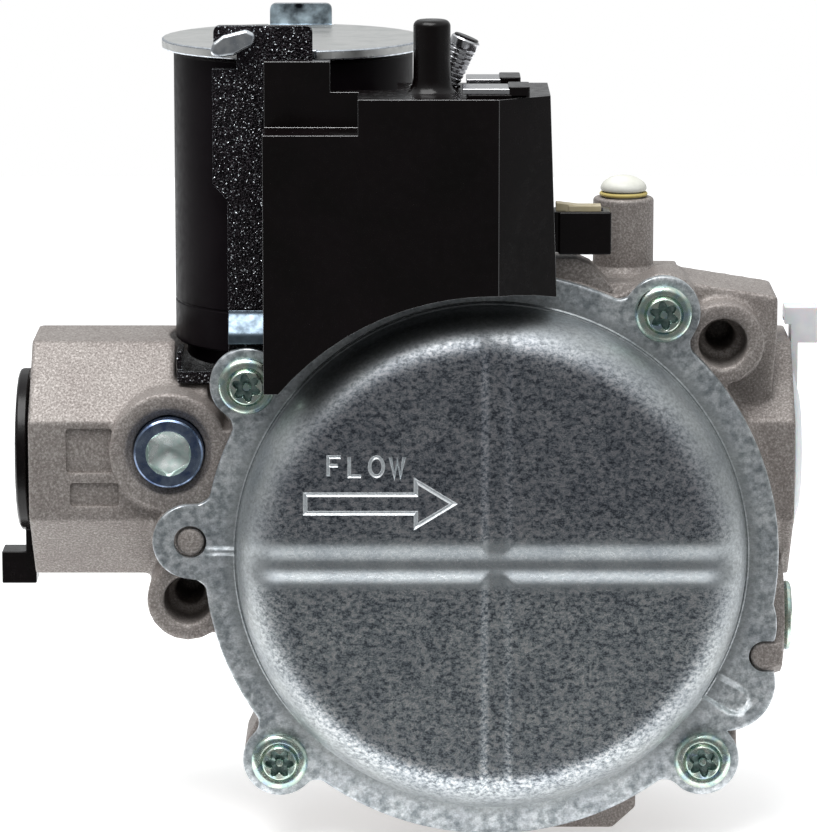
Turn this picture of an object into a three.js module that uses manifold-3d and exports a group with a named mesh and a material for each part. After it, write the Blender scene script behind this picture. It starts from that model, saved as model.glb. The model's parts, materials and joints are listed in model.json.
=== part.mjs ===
// Combination gas valve for a furnace: a solenoid shut-off valve in the inlet, then a servo-run
// diaphragm valve under the round stamped cover. Millimetres, +Z up, -Y towards the cover.
// Everything is laid out about the diaphragm's axis, with Y = 0 at the back of the cover flange.
// The exported group moves the origin to the centre of the inlet port's face.
import * as THREE from 'three';
import { mergeVertices } from 'three/addons/utils/BufferGeometryUtils.js';
import Module from 'manifold-3d';

const wasm = await Module();
wasm.setup();

// Driving dimensions ---------------------------------------------------------------------------

const GAP = 0.1; // clearance between pieces that are clamped together
const FIT = 0.3; // clearance round a screw, plug or bush in its hole

const PORT = {
  y: 20, z: 11.3, // axis shared by inlet and outlet
  boreR: 9.4, passageR: 7.2, // half-inch pipe thread, and the passage behind it
  across: 33.9, // octagon across flats
  inletX: -65.2, outletX: 42.9, // end faces, 108 apart
};
const COVER = {
  sheet: 1.2, baseR: 35.7, faceR: 31.5, // pressed dome, with a rounded shoulder round a flat face
  springZ: 2.5, height: 10.5, // heights of the shoulder's start and of the face
  grooveWidth: 3.4, grooveDepth: 0.6,
  flangeR: 40.4, lugR: 5.2, screwCircleR: 42, screwAngles: [144.5, 55.4, -135.3, -44.5],
  bossR: 3.4, // boss for the first screw, which stands up through the solenoid's foot
};
const BODY = {
  frontY: 0.9, backY: 38, rimDepth: 13, drumR: 34.5, drumY: 26,
  deckZ: 23, // machined top that the solenoid stands on
  shoulderZ: 38.2, // top of the casting round the regulator
};
const COIL = {
  x: -28, y: 20, r: 17, bottom: 25.5, top: 69.2,
  footR: 15.4, stepZ: 27.8, // the jacket is narrower below this height
  sheet: 1.6, plateR: 18.7,
};
const DOWEL = { x: -42.3, z: 2, r: 2, lugR: 5.3, holeR: 2.3 };
const NOTCH = { x: 38.6, z: -14.5, r: 2.1 };
const EARS = [{ x: -42.8, z: -6.9 }, { x: 32.4, z: 29.9 }];
const EAR = { r: 5.8, counterboreR: 3.45, counterbore: 7, holeR: 2.1, holeEnd: 17, depth: 15 };
const TAP = { r: 5.1, bossR: 8.5, length: 8.5, socketR: 2.9, socket: 4 };
const INLET_TAP = { x: -45.3, z: 14.4 };
const OUTLET_TAP = { y: 8, z: -10.6, face: PORT.outletX - 1.3 };
const REGULATOR = {
  x: 18.9, y: 15, towerR: 4.3, top: 48.7, boreR: 2.9,
  flangeR: 6.8, flangeTop: 37.6, // flange sunk in the casting
};
const SWITCH = { x: -7.85, y: 3, z: 62, tilt: 22 }; // toggle pivot, and its lean from upright
const SERVO = { x: 1.5, y: 3.6, portR: 1 }; // servo valve's axis, and the port that it closes

// Shape tools ----------------------------------------------------------------------------------

const radians = THREE.MathUtils.degToRad;

/** A closed three.js geometry as a manifold solid. */
function solid(geometry) {
  const bare = geometry.clone();
  bare.deleteAttribute('normal');
  bare.deleteAttribute('uv');
  const welded = mergeVertices(bare, 1e-4);
  const corners = welded.index.array;
  const triVerts = [];
  for (let i = 0; i < corners.length; i += 3) {
    const [a, b, c] = [corners[i], corners[i + 1], corners[i + 2]];
    if (a !== b && b !== c && c !== a) triVerts.push(a, b, c);
  }
  const vertProperties = Float32Array.from(welded.attributes.position.array);
  const mesh = new wasm.Mesh({ numProp: 3, vertProperties, triVerts: Uint32Array.from(triVerts) });
  return new wasm.Manifold(mesh);
}

/** A manifold solid as a three.js geometry. */
function geometryOf(manifold) {
  const { vertProperties, triVerts } = manifold.getMesh();
  const geometry = new THREE.BufferGeometry();
  geometry.setAttribute('position', new THREE.BufferAttribute(vertProperties, 3));
  geometry.setIndex(new THREE.BufferAttribute(triVerts, 1));
  return geometry;
}

function join(first, ...others) {
  return others.reduce((sum, other) => sum.add(other), first);
}

function cut(first, ...others) {
  return others.reduce((rest, other) => rest.subtract(other), first);
}

/** Axis-aligned block from its low corner to its high corner. */
function block(low, high) {
  const geometry = new THREE.BoxGeometry(high[0] - low[0], high[1] - low[1], high[2] - low[2]);
  geometry.translate((low[0] + high[0]) / 2, (low[1] + high[1]) / 2, (low[2] + high[2]) / 2);
  return solid(geometry);
}

/** Round bar of radius r along one axis, from a to b, centred on the other two coordinates. */
function bar(axis, r, a, b, centre, segments = 20) {
  const geometry = new THREE.CylinderGeometry(r, r, b - a, segments);
  geometry.translate(0, (a + b) / 2, 0);
  if (axis === 'x') {
    geometry.rotateZ(-Math.PI / 2);
    geometry.translate(0, centre[0], centre[1]);
  } else if (axis === 'y') {
    geometry.translate(centre[0], 0, centre[1]);
  } else {
    geometry.rotateX(Math.PI / 2);
    geometry.translate(centre[0], centre[1], 0);
  }
  return solid(geometry);
}

/** Solid of revolution about local Z, from a closed list of [radius, height] points. */
function turned(profile, segments = 24) {
  const points = profile.map(([r, z]) => new THREE.Vector2(r, z));
  if (THREE.ShapeUtils.area(points) < 0) points.reverse();
  points.push(points[0].clone());
  const geometry = new THREE.LatheGeometry(points, segments);
  geometry.rotateX(Math.PI / 2);
  const body = solid(geometry);
  return body.volume() < 0 ? solid(flipped(geometry)) : body;
}

/** The same geometry with its faces turned the other way. */
function flipped(geometry) {
  const turnedOver = geometry.clone();
  turnedOver.index.array.reverse();
  return turnedOver;
}

/** Shape drawn in X and Z, extruded along Y from a to b. */
function prismY(shape, a, b, curveSegments = 12) {
  const options = { depth: b - a, bevelEnabled: false, curveSegments };
  const geometry = new THREE.ExtrudeGeometry(shape, options);
  geometry.rotateX(Math.PI / 2);
  geometry.translate(0, b, 0);
  return solid(geometry);
}

/** Shape drawn in X and Y, extruded along Z from a to b. */
function prismZ(shape, a, b, curveSegments = 12) {
  const options = { depth: b - a, bevelEnabled: false, curveSegments };
  const geometry = new THREE.ExtrudeGeometry(shape, options);
  geometry.translate(0, 0, a);
  return solid(geometry);
}

function polygon(points) {
  return new THREE.Shape(points.map(([x, y]) => new THREE.Vector2(x, y)));
}

/** Regular polygon with its flats square to the drawing axes. */
function flats(across, sides) {
  const cornerR = across / 2 / Math.cos(Math.PI / sides);
  const corners = [];
  for (let i = 0; i < sides; i++) {
    const angle = ((i + 0.5) * 2 * Math.PI) / sides;
    corners.push([cornerR * Math.cos(angle), cornerR * Math.sin(angle)]);
  }
  return polygon(corners);
}

/** Octagonal boss along X about the port axis. */
function octagonBoss(a, b) {
  const geometry = new THREE.ExtrudeGeometry(flats(PORT.across, 8), { depth: b - a, bevelEnabled: false });
  geometry.rotateY(Math.PI / 2);
  geometry.translate(a, PORT.y, PORT.z);
  return solid(geometry);
}

/** Coil spring along local Z. */
class Helix extends THREE.Curve {
  constructor(radius, low, high, turns) {
    super();
    Object.assign(this, { radius, low, high, turns });
  }

  getPoint(t) {
    const angle = 2 * Math.PI * this.turns * t;
    const height = this.low + (this.high - this.low) * t;
    return new THREE.Vector3(this.radius * Math.cos(angle), this.radius * Math.sin(angle), height);
  }
}

function spring(radius, wireR, low, high, turns) {
  const path = new Helix(radius, low + wireR, high - wireR, turns);
  const section = new THREE.Shape();
  section.absarc(0, 0, wireR, 0, 2 * Math.PI);
  const options = { extrudePath: path, steps: turns * 8, curveSegments: 2, bevelEnabled: false };
  return solid(new THREE.ExtrudeGeometry(section, options));
}

/** Torus about local Z. */
function ring(radius, sectionR, z, segments = 20) {
  const geometry = new THREE.TorusGeometry(radius, sectionR, 6, segments);
  geometry.translate(0, 0, z);
  return solid(geometry);
}

// Materials ------------------------------------------------------------------------------------

function finish(color, roughness, metalness) {
  return () => new THREE.MeshStandardMaterial({ color, roughness, metalness });
}

const castAluminium = finish(0x9d968f, 0.62, 0.75);
const zincSheet = finish(0x8f9a9c, 0.38, 0.95);
const zincScrew = finish(0xb4beb4, 0.28, 0.95);
const darkZinc = finish(0x3a3c40, 0.4, 0.9);
const brightSteel = finish(0xc4c6c8, 0.25, 1);
const blackPlastic = finish(0x120f10, 0.28, 0);
const copper = finish(0xa8562e, 0.4, 0.9);
const blackRubber = finish(0x1b1b1c, 0.75, 0);
const whitePlastic = finish(0xe9ecee, 0.35, 0);
const creamPlastic = finish(0xd9cba6, 0.5, 0);
const brass = finish(0xb9975a, 0.35, 1);
const yellowRubber = finish(0xd8c56a, 0.6, 0);

/** Adds one named sub-part to a group. */
function add(group, name, manifold, material) {
  const mesh = new THREE.Mesh(geometryOf(manifold), material());
  mesh.name = name;
  group.add(mesh);
}

/** Group whose local Z axis points along the valve's X, Y or Z axis, through the point given. */
function along(axis, x, y, z) {
  const group = new THREE.Group();
  group.position.set(x, y, z);
  if (axis === 'x') group.rotation.y = Math.PI / 2;
  if (axis === 'y') group.rotation.x = -Math.PI / 2;
  return group;
}

// Cover flange outline, shared by the casting, the diaphragm and the cover -----------------------

/** Centre of cover screw i in X and Z. */
function screwCentre(i) {
  const angle = radians(COVER.screwAngles[i]);
  return { x: COVER.screwCircleR * Math.cos(angle), z: COVER.screwCircleR * Math.sin(angle) };
}

const SCREWS = COVER.screwAngles.map((_, i) => screwCentre(i));

const LOBES = [
  ...SCREWS.map(({ x, z }) => ({ x, z, r: COVER.lugR })),
  { x: DOWEL.x, z: DOWEL.z, r: DOWEL.lugR },
  { x: 31.3, z: -10, r: 9 }, // swelling above the notch
  { x: 33.2, z: -18.4, r: 7 }, // swelling below the notch
];

/** Outer radius of the flange in one direction: a disc with round lobes blended into it. */
function flangeRadius(angle) {
  const blend = radians(2.5);
  let reach = COVER.flangeR;
  for (const lobe of LOBES) {
    const distance = Math.hypot(lobe.x, lobe.z);
    const centre = Math.atan2(lobe.z, lobe.x);
    const away = Math.abs(Math.atan2(Math.sin(angle - centre), Math.cos(angle - centre)));
    const tangent = Math.asin(lobe.r / distance);
    if (away <= tangent) {
      const half = Math.sqrt(Math.max(0, lobe.r ** 2 - (distance * Math.sin(away)) ** 2));
      reach = Math.max(reach, distance * Math.cos(away) + half);
    } else if (away < tangent + blend) {
      const edge = distance * Math.cos(tangent) - COVER.flangeR;
      reach = Math.max(reach, COVER.flangeR + edge * (1 - (away - tangent) / blend) ** 2);
    }
  }
  return reach;
}

/** Flange outline, grown outwards by an offset. Points are close together only round the lobes. */
function flangeOutline(offset = 0) {
  const nearLobe = (angle) => flangeRadius(angle) > COVER.flangeR + 0.01;
  const step = radians(2.4);
  const points = [];
  for (let i = 0; i < 150; i++) {
    const angle = i * step;
    const busy = nearLobe(angle - step) || nearLobe(angle) || nearLobe(angle + step);
    if (!busy && i % 5 !== 0) continue;
    const reach = flangeRadius(angle) + offset;
    points.push([reach * Math.cos(angle), reach * Math.sin(angle)]);
  }
  return polygon(points);
}

// Body casting and what is in its passages -------------------------------------------------------

const CHAMBER = { r: 9, floor: 3, lip: 3.8, seatR: 4.6 }; // first valve, under the solenoid
const MAIN = {
  cavityR: 28.5, cavityY: 5.5, // room behind the diaphragm
  seatR: 7, lipR: 8, lipY: 17.8,
  chamberR: 11, plugR: 12.5, plugY: 34, // outlet chamber, closed at the back by a plug
};
const POCKET = { r: 6.4, floor: 29.5, rimZ: 34 }; // regulator diaphragm pocket

function bodyOutside() {
  const rimBack = BODY.frontY + BODY.rimDepth;
  const rim = prismY(flangeOutline(0.2), BODY.frontY, rimBack);
  const drum = bar('y', BODY.drumR, rimBack - 1, BODY.drumY, [0, 0], 36);
  const core = block([-46, 9, -13], [40, BODY.backY, BODY.deckZ]);
  const rearFoot = bar('y', 22, BODY.drumY - 1, BODY.backY, [0, -6], 30);
  const shoulder = block([6, 3, 20], [27, 24, BODY.shoulderZ]);
  const rightShape = polygon([
    [5, 18], [34, 18], [39.6, 22], [40.3, 31], [40.3, 35.9], [27.8, 37.9], [5, 37.9],
  ]);
  const right = prismY(rightShape, 5, 20);
  const inlet = octagonBoss(PORT.inletX, -40);
  const outlet = octagonBoss(30, PORT.outletX);
  const padShape = polygon([[6, -30], [6, -41.2], [17.6, -41.2], [20.9, -38.2], [20.9, -30]]);
  const pad = prismY(padShape, 5, 33);
  const tapBoss = bar('y', TAP.bossR, BODY.frontY, 12, [INLET_TAP.x, INLET_TAP.z]);
  const outletTapBoss = bar('x', TAP.bossR, 28, OUTLET_TAP.face, [OUTLET_TAP.y + 1.5, OUTLET_TAP.z]);
  const ears = EARS.map(({ x, z }) => bar('y', EAR.r, BODY.frontY, BODY.frontY + EAR.depth, [x, z]));
  const bosses = [pad, tapBoss, outletTapBoss, ...ears];
  return join(rim, drum, core, rearFoot, shoulder, right, inlet, outlet, ...bosses);
}

/** Room left for the solenoid, above the deck, and the screw boss that stands up inside it. */
function cutForSolenoid(casting) {
  const coilRoom = bar('z', COIL.r + 0.8, BODY.deckZ, 60, [COIL.x, COIL.y], 36);
  const strapRoom = block([-44.8, -2, BODY.deckZ], [-24.2, 22, 60]);
  const { x, z } = SCREWS[0];
  const boss = bar('y', COVER.bossR, BODY.frontY, BODY.frontY + 8.1, [x, z]);
  return cut(casting, coilRoom, strapRoom).add(boss);
}

function bodyPassages() {
  const { y, z } = PORT;
  return [
    bar('x', PORT.boreR, PORT.inletX - 1, -47, [y, z], 22),
    bar('x', PORT.passageR, -48, COIL.x, [y, z]),
    bar('z', CHAMBER.r, CHAMBER.floor, BODY.deckZ + 1, [COIL.x, COIL.y], 22),
    bar('z', 11.2, BODY.deckZ - 3, BODY.deckZ + 1, [COIL.x, COIL.y], 22),
    bar('z', CHAMBER.seatR, -9, CHAMBER.floor + 1, [COIL.x, COIL.y]),
    bar('x', 4.4, COIL.x, 0, [COIL.y + 4, -5], 16),
    bar('y', MAIN.cavityR, BODY.frontY - 1, MAIN.cavityY, [0, 0], 26),
    bar('y', MAIN.seatR, MAIN.cavityY - 1, 18, [0, 0]),
    bar('y', MAIN.chamberR, 17, BODY.backY + 1, [0, 0], 22),
    bar('y', MAIN.plugR, MAIN.plugY, BODY.backY + 1, [0, 0], 22),
    bar('y', 5.5, MAIN.cavityY - 1, y, [20, 5], 16),
    bar('x', PORT.boreR, 27, PORT.outletX + 1, [y, z], 22),
    bar('x', PORT.passageR, 15, 28, [y, z]),
    bar('y', TAP.r, BODY.frontY - 1, 12.5, [INLET_TAP.x, INLET_TAP.z]),
    bar('x', TAP.r, PORT.outletX - TAP.length - 1, PORT.outletX + 1, [OUTLET_TAP.y, OUTLET_TAP.z]),
    bar('x', 1.5, 20, PORT.outletX - TAP.length, [OUTLET_TAP.y - 3, OUTLET_TAP.z], 12),
    bar('z', REGULATOR.flangeR + FIT, POCKET.rimZ, BODY.shoulderZ + 3, [REGULATOR.x, REGULATOR.y], 22),
    bar('z', POCKET.r, POCKET.floor, POCKET.rimZ + 1, [REGULATOR.x, REGULATOR.y], 22),
    bar('z', 1.2, 14, POCKET.floor + 1, [REGULATOR.x, REGULATOR.y + 3], 12),
    bar('z', SERVO.portR, 36, 46, [SERVO.x, SERVO.y], 12),
  ];
}

/** Two shallow cast recesses on the inlet's front: a square one, and a narrow one under it. */
function castPanels() {
  const facetY = PORT.y - PORT.across / 2;
  return [
    block([-59.9, facetY - 1, 11], [-53.3, facetY + 0.4, 17.4]),
    block([-59.4, facetY - 1, 6.2], [-52.5, facetY + 0.4, 9.6]),
  ];
}

function valveBody() {
  const screwHoles = SCREWS.map(({ x, z }) => bar('y', 2, BODY.frontY - 1, 8.5, [x, z], 12));
  const earHoles = EARS.flatMap(({ x, z }) => [
    bar('y', EAR.counterboreR, BODY.frontY - 1, BODY.frontY + EAR.counterbore, [x, z], 20),
    bar('y', EAR.holeR, BODY.frontY, EAR.holeEnd, [x, z], 12),
  ]);
  const plugRoom = bar('y', TAP.r + 0.9, BODY.frontY - 1, BODY.frontY + 1, [INLET_TAP.x, INLET_TAP.z]);
  const servoBoss = bar('z', 2.4, 39, 44.6, [SERVO.x, SERVO.y], 24);
  const outside = cutForSolenoid(bodyOutside()).add(servoBoss);
  const holes = [...bodyPassages(), ...screwHoles, ...earHoles, ...castPanels(), plugRoom];
  const { seatR, lip } = CHAMBER;
  const firstLip = turned([[seatR, 2], [6, 2], [6, lip - 0.5], [5.6, lip], [seatR, lip]]);
  const mainLip = cut(
    bar('y', MAIN.lipR, 16.5, MAIN.lipY, [0, 0]),
    bar('y', MAIN.seatR, 16, 18, [0, 0]),
  );
  const pinFront = -COVER.sheet + GAP;
  const dowel = bar('y', DOWEL.r, pinFront, 2, [DOWEL.x, DOWEL.z], 24);
  const notchPin = bar('y', DOWEL.r, pinFront, 2, [NOTCH.x, NOTCH.z], 24);
  const notchWeb = block(
    [NOTCH.x, pinFront, NOTCH.z - DOWEL.r + 0.3],
    [NOTCH.x + 2.6, 2, NOTCH.z + DOWEL.r],
  );
  const inside = [firstLip.translate([COIL.x, COIL.y, 0]), mainLip];
  return join(cut(outside, ...holes), ...inside, dowel, notchPin, notchWeb);
}

/** Perforated disc across the inlet, against the step at the end of the pipe thread. */
function inletScreen() {
  const pitch = 3.3;
  const half = 1.1;
  const holes = [];
  for (let column = -2; column <= 2; column++) {
    for (let row = -2; row <= 2; row++) {
      const [x, y] = [column * pitch, row * pitch];
      if (Math.hypot(x, y) < 7) holes.push(block([x - half, y - half, -1], [x + half, y + half, 2]));
    }
  }
  return cut(bar('z', PORT.boreR - 0.3, 0, 0.8, [0, 0], 36), ...holes);
}

/** Pipe plug with a hexagon socket, open end outwards at local Z = 0, threaded part below it. */
function tapPlug() {
  const r = TAP.r - 0.15;
  const blank = turned([
    [0, -TAP.length], [r - 0.7, -TAP.length], [r, -TAP.length + 0.8], [r, -0.7], [r - 0.6, 0], [0, 0],
  ]);
  const chamfer = turned([[0, 1], [TAP.socketR + 1.3, 1], [TAP.socketR, -0.9], [0, -0.9]], 24);
  return cut(blank, prismZ(flats(TAP.socketR * 2, 6), -TAP.socket, 1), chamfer);
}

// Diaphragm valve --------------------------------------------------------------------------------

function diaphragmCover() {
  const { sheet, baseR, faceR, springZ, height } = COVER;
  const shoulder = (depth, angle) => [
    faceR + (baseR - depth - faceR) * Math.cos(angle),
    springZ + (height - depth - springZ) * Math.sin(angle),
  ];
  const outer = [];
  const inner = [];
  for (let i = 0; i <= 3; i++) {
    outer.push(shoulder(0, (i * Math.PI) / 6));
    inner.unshift(shoulder(sheet, (i * Math.PI) / 6));
  }
  const profile = [[baseR - sheet, 0], [baseR, 0], ...outer, [0, height], [0, height - sheet], ...inner];
  const dome = turned(profile, 32).rotate([90, 0, 0]);
  const flange = cut(prismY(flangeOutline(), -sheet, 0), bar('y', baseR - sheet + 0.1, -5, 5, [0, 0], 32));
  const reach = faceR + 2;
  const half = COVER.grooveWidth / 2;
  const grooves = [
    block([-half, -height - 1, -reach], [half, -height + COVER.grooveDepth, reach]),
    block([-reach, -height - 1, -half], [reach, -height + COVER.grooveDepth, half]),
  ];
  const holes = SCREWS.map(({ x, z }) => bar('y', 2.3, -5, 5, [x, z], 16));
  const dowelHole = bar('y', DOWEL.holeR, -5, 5, [DOWEL.x, DOWEL.z], 24);
  const notch = block([NOTCH.x, -5, NOTCH.z - NOTCH.r - 0.2], [NOTCH.x + 6, 5, NOTCH.z + NOTCH.r + 0.2]);
  const notchEnd = bar('y', NOTCH.r + 0.2, -5, 5, [NOTCH.x, NOTCH.z], 24);
  return cut(join(flange, dome), ...grooves, ...holes, dowelHole, notch, notchEnd);
}

/** Fabric-reinforced rubber sheet: flat rim under the cover, one convolution, flat centre. */
function mainDiaphragm() {
  const thickness = BODY.frontY - 2 * GAP;
  const crown = { low: 21, high: 27, rise: 3 };
  const front = [];
  const back = [];
  for (let i = 0; i <= 4; i++) {
    const r = crown.low + ((crown.high - crown.low) * i) / 4;
    const rise = crown.rise * Math.sin((Math.PI * i) / 4);
    front.push([r, thickness + rise]);
    back.unshift([r, rise]);
  }
  const rimR = COVER.flangeR - 1.5; // clears the pin in the flange's notch
  const sheet = turned([[2.8, 0], [2.8, thickness], ...front, [rimR, thickness], [rimR, 0], ...back], 32);
  return sheet.rotate([90, 0, 0]).translate([0, BODY.frontY - GAP, 0]);
}

/** Pieces on the main valve's axis. Local Z runs from the cover to the back of the body. */
function mainValve() {
  const group = along('y', 0, 0, 0);
  const plate = turned([[2.7, -1], [19, -1], [19.8, -0.4], [19.8, 0], [2.7, 0]], 28);
  const washer = turned([[2.7, 1], [14, 1], [14, 2], [2.7, 2]]);
  const stem = turned([
    [0, -2.4], [4, -2.4], [4, -1.1], [2.5, -1.1], [2.5, 17.9], [2, 18.3], [2, 23.4], [0, 23.4],
  ], 24);
  const seal = turned([[2.6, 18], [9, 18], [9, 19.8], [2.6, 19.8]]);
  const disc = turned([[2.3, 19.9], [9.6, 19.9], [9.6, 21.3], [4.6, 21.3], [4.6, 22.6], [2.3, 22.6]]);
  add(group, 'diaphragm_plate', plate, zincSheet);
  add(group, 'diaphragm_washer', washer, zincSheet);
  add(group, 'main_valve_stem', stem, brightSteel);
  add(group, 'main_valve_seal', seal, blackRubber);
  add(group, 'main_valve_disc', disc, brightSteel);
  add(group, 'main_valve_spring', spring(6.2, 0.45, 21.4, MAIN.plugY - GAP, 5), brightSteel);
  const plugR = MAIN.plugR - 0.15;
  const plug = turned([[0, 34], [plugR, 34], [plugR, 37.3], [plugR - 0.7, 37.9], [0, 37.9]], 36);
  const slot = block([-9, -1.1, 36.2], [9, 1.1, 40]);
  add(group, 'main_spring_plug', cut(plug, slot), castAluminium);
  return group;
}

/** Pan-head cover screw with a six-lobe recess and a centre pin. Local Z points out of the head. */
function coverScrew(shank) {
  const head = turned([
    [0, -shank], [1.5, -shank], [1.75, -shank + 0.5], [1.75, 0], [4, 0], [4, 0.9], [3.55, 1.8],
    [2.9, 2.15], [0, 2.15],
  ], 16);
  const star = new THREE.Shape();
  for (let i = 0; i < 12; i++) {
    const angle = (i * Math.PI) / 6;
    const r = 1.95 + 0.3 * Math.cos(6 * angle);
    const point = [r * Math.cos(angle), r * Math.sin(angle)];
    if (i === 0) star.moveTo(...point);
    else star.lineTo(...point);
  }
  const recess = cut(prismZ(star, 0.7, 3), bar('z', 0.6, 0, 2, [0, 0], 8));
  return head.subtract(recess);
}

// Solenoid ---------------------------------------------------------------------------------------

function solenoid() {
  const group = along('z', COIL.x, COIL.y, 0);
  const { r, bottom, top, sheet, plateR } = COIL;
  const wall = 1.8;
  const jacket = turned([
    [COIL.footR - wall, bottom], [COIL.footR, bottom], [COIL.footR, COIL.stepZ], [r, COIL.stepZ],
    [r, top], [r - wall, top], [r - wall, COIL.stepZ + 0.4], [COIL.footR - wall, COIL.stepZ + 0.4],
  ], 44);
  const { x, z } = SCREWS[0];
  const bossRoom = bar('y', COVER.bossR + 0.8, -30, -9, [x - COIL.x, z]);
  add(group, 'coil_jacket', jacket.subtract(bossRoom), blackPlastic);
  const flange = 1.4;
  const bobbinBase = bottom + 6;
  const bobbin = turned([
    [7, bobbinBase], [15, bobbinBase], [15, bobbinBase + flange], [8, bobbinBase + flange],
    [8, top - flange], [15, top - flange], [15, top], [7, top],
  ], 20);
  add(group, 'coil_bobbin', bobbin, blackPlastic);
  const [low, high] = [bobbinBase + flange + 0.2, top - flange - 0.2];
  const winding = turned([[8.15, low], [14.6, low], [14.6, high], [8.15, high]], 20);
  add(group, 'coil_winding', winding, copper);
  const plateBottom = top + 0.3;
  const plate = bar('z', plateR, plateBottom, plateBottom + 1.4, [0, 0], 40);
  const frontNotch = block([-11, -20, 60], [3.5, -17.1, 80]);
  const rearNotch = block([-4, 17.1, 60], [5.4, 20, 80]);
  add(group, 'frame_top_plate', cut(plate, frontNotch, rearNotch), zincSheet);
  const tubeBase = BODY.deckZ - 1.8;
  const tube = turned([
    [6, tubeBase], [10.8, tubeBase], [10.8, tubeBase + 1.6], [6.6, tubeBase + 1.6], [6.6, 68.6], [0, 68.6],
    [0, 68], [6, 68],
  ]);
  add(group, 'plunger_tube', tube, brightSteel);
  const sealRing = turned([[9.3, 20.1], [11, 20.1], [11, 21.1], [9.3, 21.1]]);
  add(group, 'tube_seal_ring', sealRing, blackRubber);
  const pole = turned([[0, 48], [5.6, 48], [5.85, 48.4], [5.85, 67.9], [0, 67.9]]);
  add(group, 'pole_piece', pole, brightSteel);
  const plunger = turned([
    [0, 6.6], [7.6, 6.6], [7.6, 7.9], [5.6, 7.9], [5.6, 44.2], [5.1, 44.7], [0, 44.7],
  ]);
  add(group, 'plunger', plunger, brightSteel);
  const seal = turned([[0, CHAMBER.lip + 0.1], [6.8, CHAMBER.lip + 0.1], [6.8, 6.5], [0, 6.5]]);
  add(group, 'first_valve_seal', seal, blackRubber);
  add(group, 'plunger_spring', spring(6.7, 0.45, 8, tubeBase - 0.1, 4), brightSteel);
  group.add(solenoidFrame(sheet));
  return group;
}

/** One bent strip: front strap, foot plate under the coil, rear strap. Drawn about the coil axis. */
function solenoidFrame(sheet) {
  const group = new THREE.Group();
  const footZ = BODY.deckZ + 0.3;
  const { x, z } = SCREWS[0];
  const boss = { x: x - COIL.x, z, r: COVER.bossR + 0.6 };
  const strap = new THREE.Shape();
  strap.moveTo(3.1, footZ);
  strap.lineTo(3.1, 73.4);
  strap.quadraticCurveTo(3.1, 74.4, 2.1, 74.4);
  strap.lineTo(-9.6, 74.4);
  strap.quadraticCurveTo(-10.6, 74.4, -10.6, 73.4);
  const leftEdge = [
    [-10.6, 71.3], [-7.4, 71.3], [-7.4, 68.4], [-10.8, 68.4], [-10.8, 52.3], [-8.8, 50.2],
  ];
  for (const [px, pz] of leftEdge) strap.lineTo(px, pz);
  const start = Math.acos((-8.8 - boss.x) / boss.r);
  strap.absarc(boss.x, boss.z, boss.r, start, 0, true);
  strap.lineTo(boss.x + boss.r, footZ);
  const frontY = 1 - COIL.y;
  const front = prismY(strap, frontY, frontY + sheet, 8);
  const rearShape = new THREE.Shape();
  rearShape.moveTo(-3.8, footZ);
  rearShape.lineTo(5.2, footZ);
  rearShape.lineTo(5.2, 72.9);
  rearShape.quadraticCurveTo(5.2, 73.9, 4.2, 73.9);
  rearShape.lineTo(-2.8, 73.9);
  rearShape.quadraticCurveTo(-3.8, 73.9, -3.8, 72.9);
  const rear = prismY(rearShape, 17.4, 17.4 + sheet, 6);
  const [bossLeft, bossRight] = [boss.x - boss.r, boss.x + boss.r];
  const footShape = polygon([
    [bossRight, frontY], [3.1, frontY], [3.1, -16], [9, -13], [9, 13], [5.2, 16],
    [5.2, 17.4 + sheet], [-3.8, 17.4 + sheet], [-3.8, 16], [-9, 13], [-16.2, 4], [-16.2, -13.4],
    [bossLeft, -13.4], [bossLeft, -10.2], [bossRight, -10.2],
  ]);
  const foot = prismZ(footShape, footZ, footZ + sheet);
  const stop = block([-16.4, -11.5, footZ], [-15.7, -4.5, 27.4]); // upturned edge beside the jacket
  const hole = bar('z', 6.9, 20, 30, [0, 0]);
  add(group, 'solenoid_frame', cut(join(front, rear, foot, stop), hole), darkZinc);
  return group;
}

// Operator housing and what is in it -------------------------------------------------------------

const OPERATOR = {
  left: -31.5, right: 8.8, frontY: -13, backY: 7.5, wall: 1.8,
  frontRight: 0.7, sideY: -7, // ends of the chamfer between the front and the right side
  deckZ: 65.8, stepZ: 60.9, // top, and the lower step at the left
};

/** Plan of the housing, drawn in by an inset all round except at its open back. */
function operatorPlan(inset) {
  const { left, frontY, frontRight, right, sideY, backY } = OPERATOR;
  const back = inset > 0 ? backY + 5 : backY;
  const frontBack = inset > 0 ? 5 : -1.4;
  return polygon([
    [left + inset, frontY + inset],
    [frontRight - inset * 0.4, frontY + inset],
    [right - inset, sideY + inset * 0.4],
    [right - inset, back],
    [-13.2 + inset, back],
    [-13.2 + inset, frontBack],
    [left + inset, frontBack],
  ]);
}

/** Front view of the housing: stepped top, draught on the right, and a bottom that clears the dome. */
function operatorFront(inset) {
  const { left, right, deckZ, stepZ } = OPERATOR;
  const arcR = 38.8 + inset;
  const footX = left + 2;
  const footZ = Math.sqrt(arcR ** 2 - footX ** 2);
  const corner = new THREE.Vector2(right - inset, Math.sqrt(arcR ** 2 - (right - inset) ** 2));
  const outline = [
    [left + inset, footZ], [left + inset, stepZ - inset], [-18.5 + inset, stepZ - inset],
    [-18.5 + inset, deckZ - inset], [right - 1 - inset, deckZ - inset],
  ];
  const steps = 14;
  const end = Math.atan2(footZ, footX);
  for (let i = 0; i <= steps; i++) {
    const angle = corner.angle() + ((end - corner.angle()) * i) / steps;
    outline.push([arcR * Math.cos(angle), arcR * Math.sin(angle)]);
  }
  return polygon(outline);
}

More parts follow.
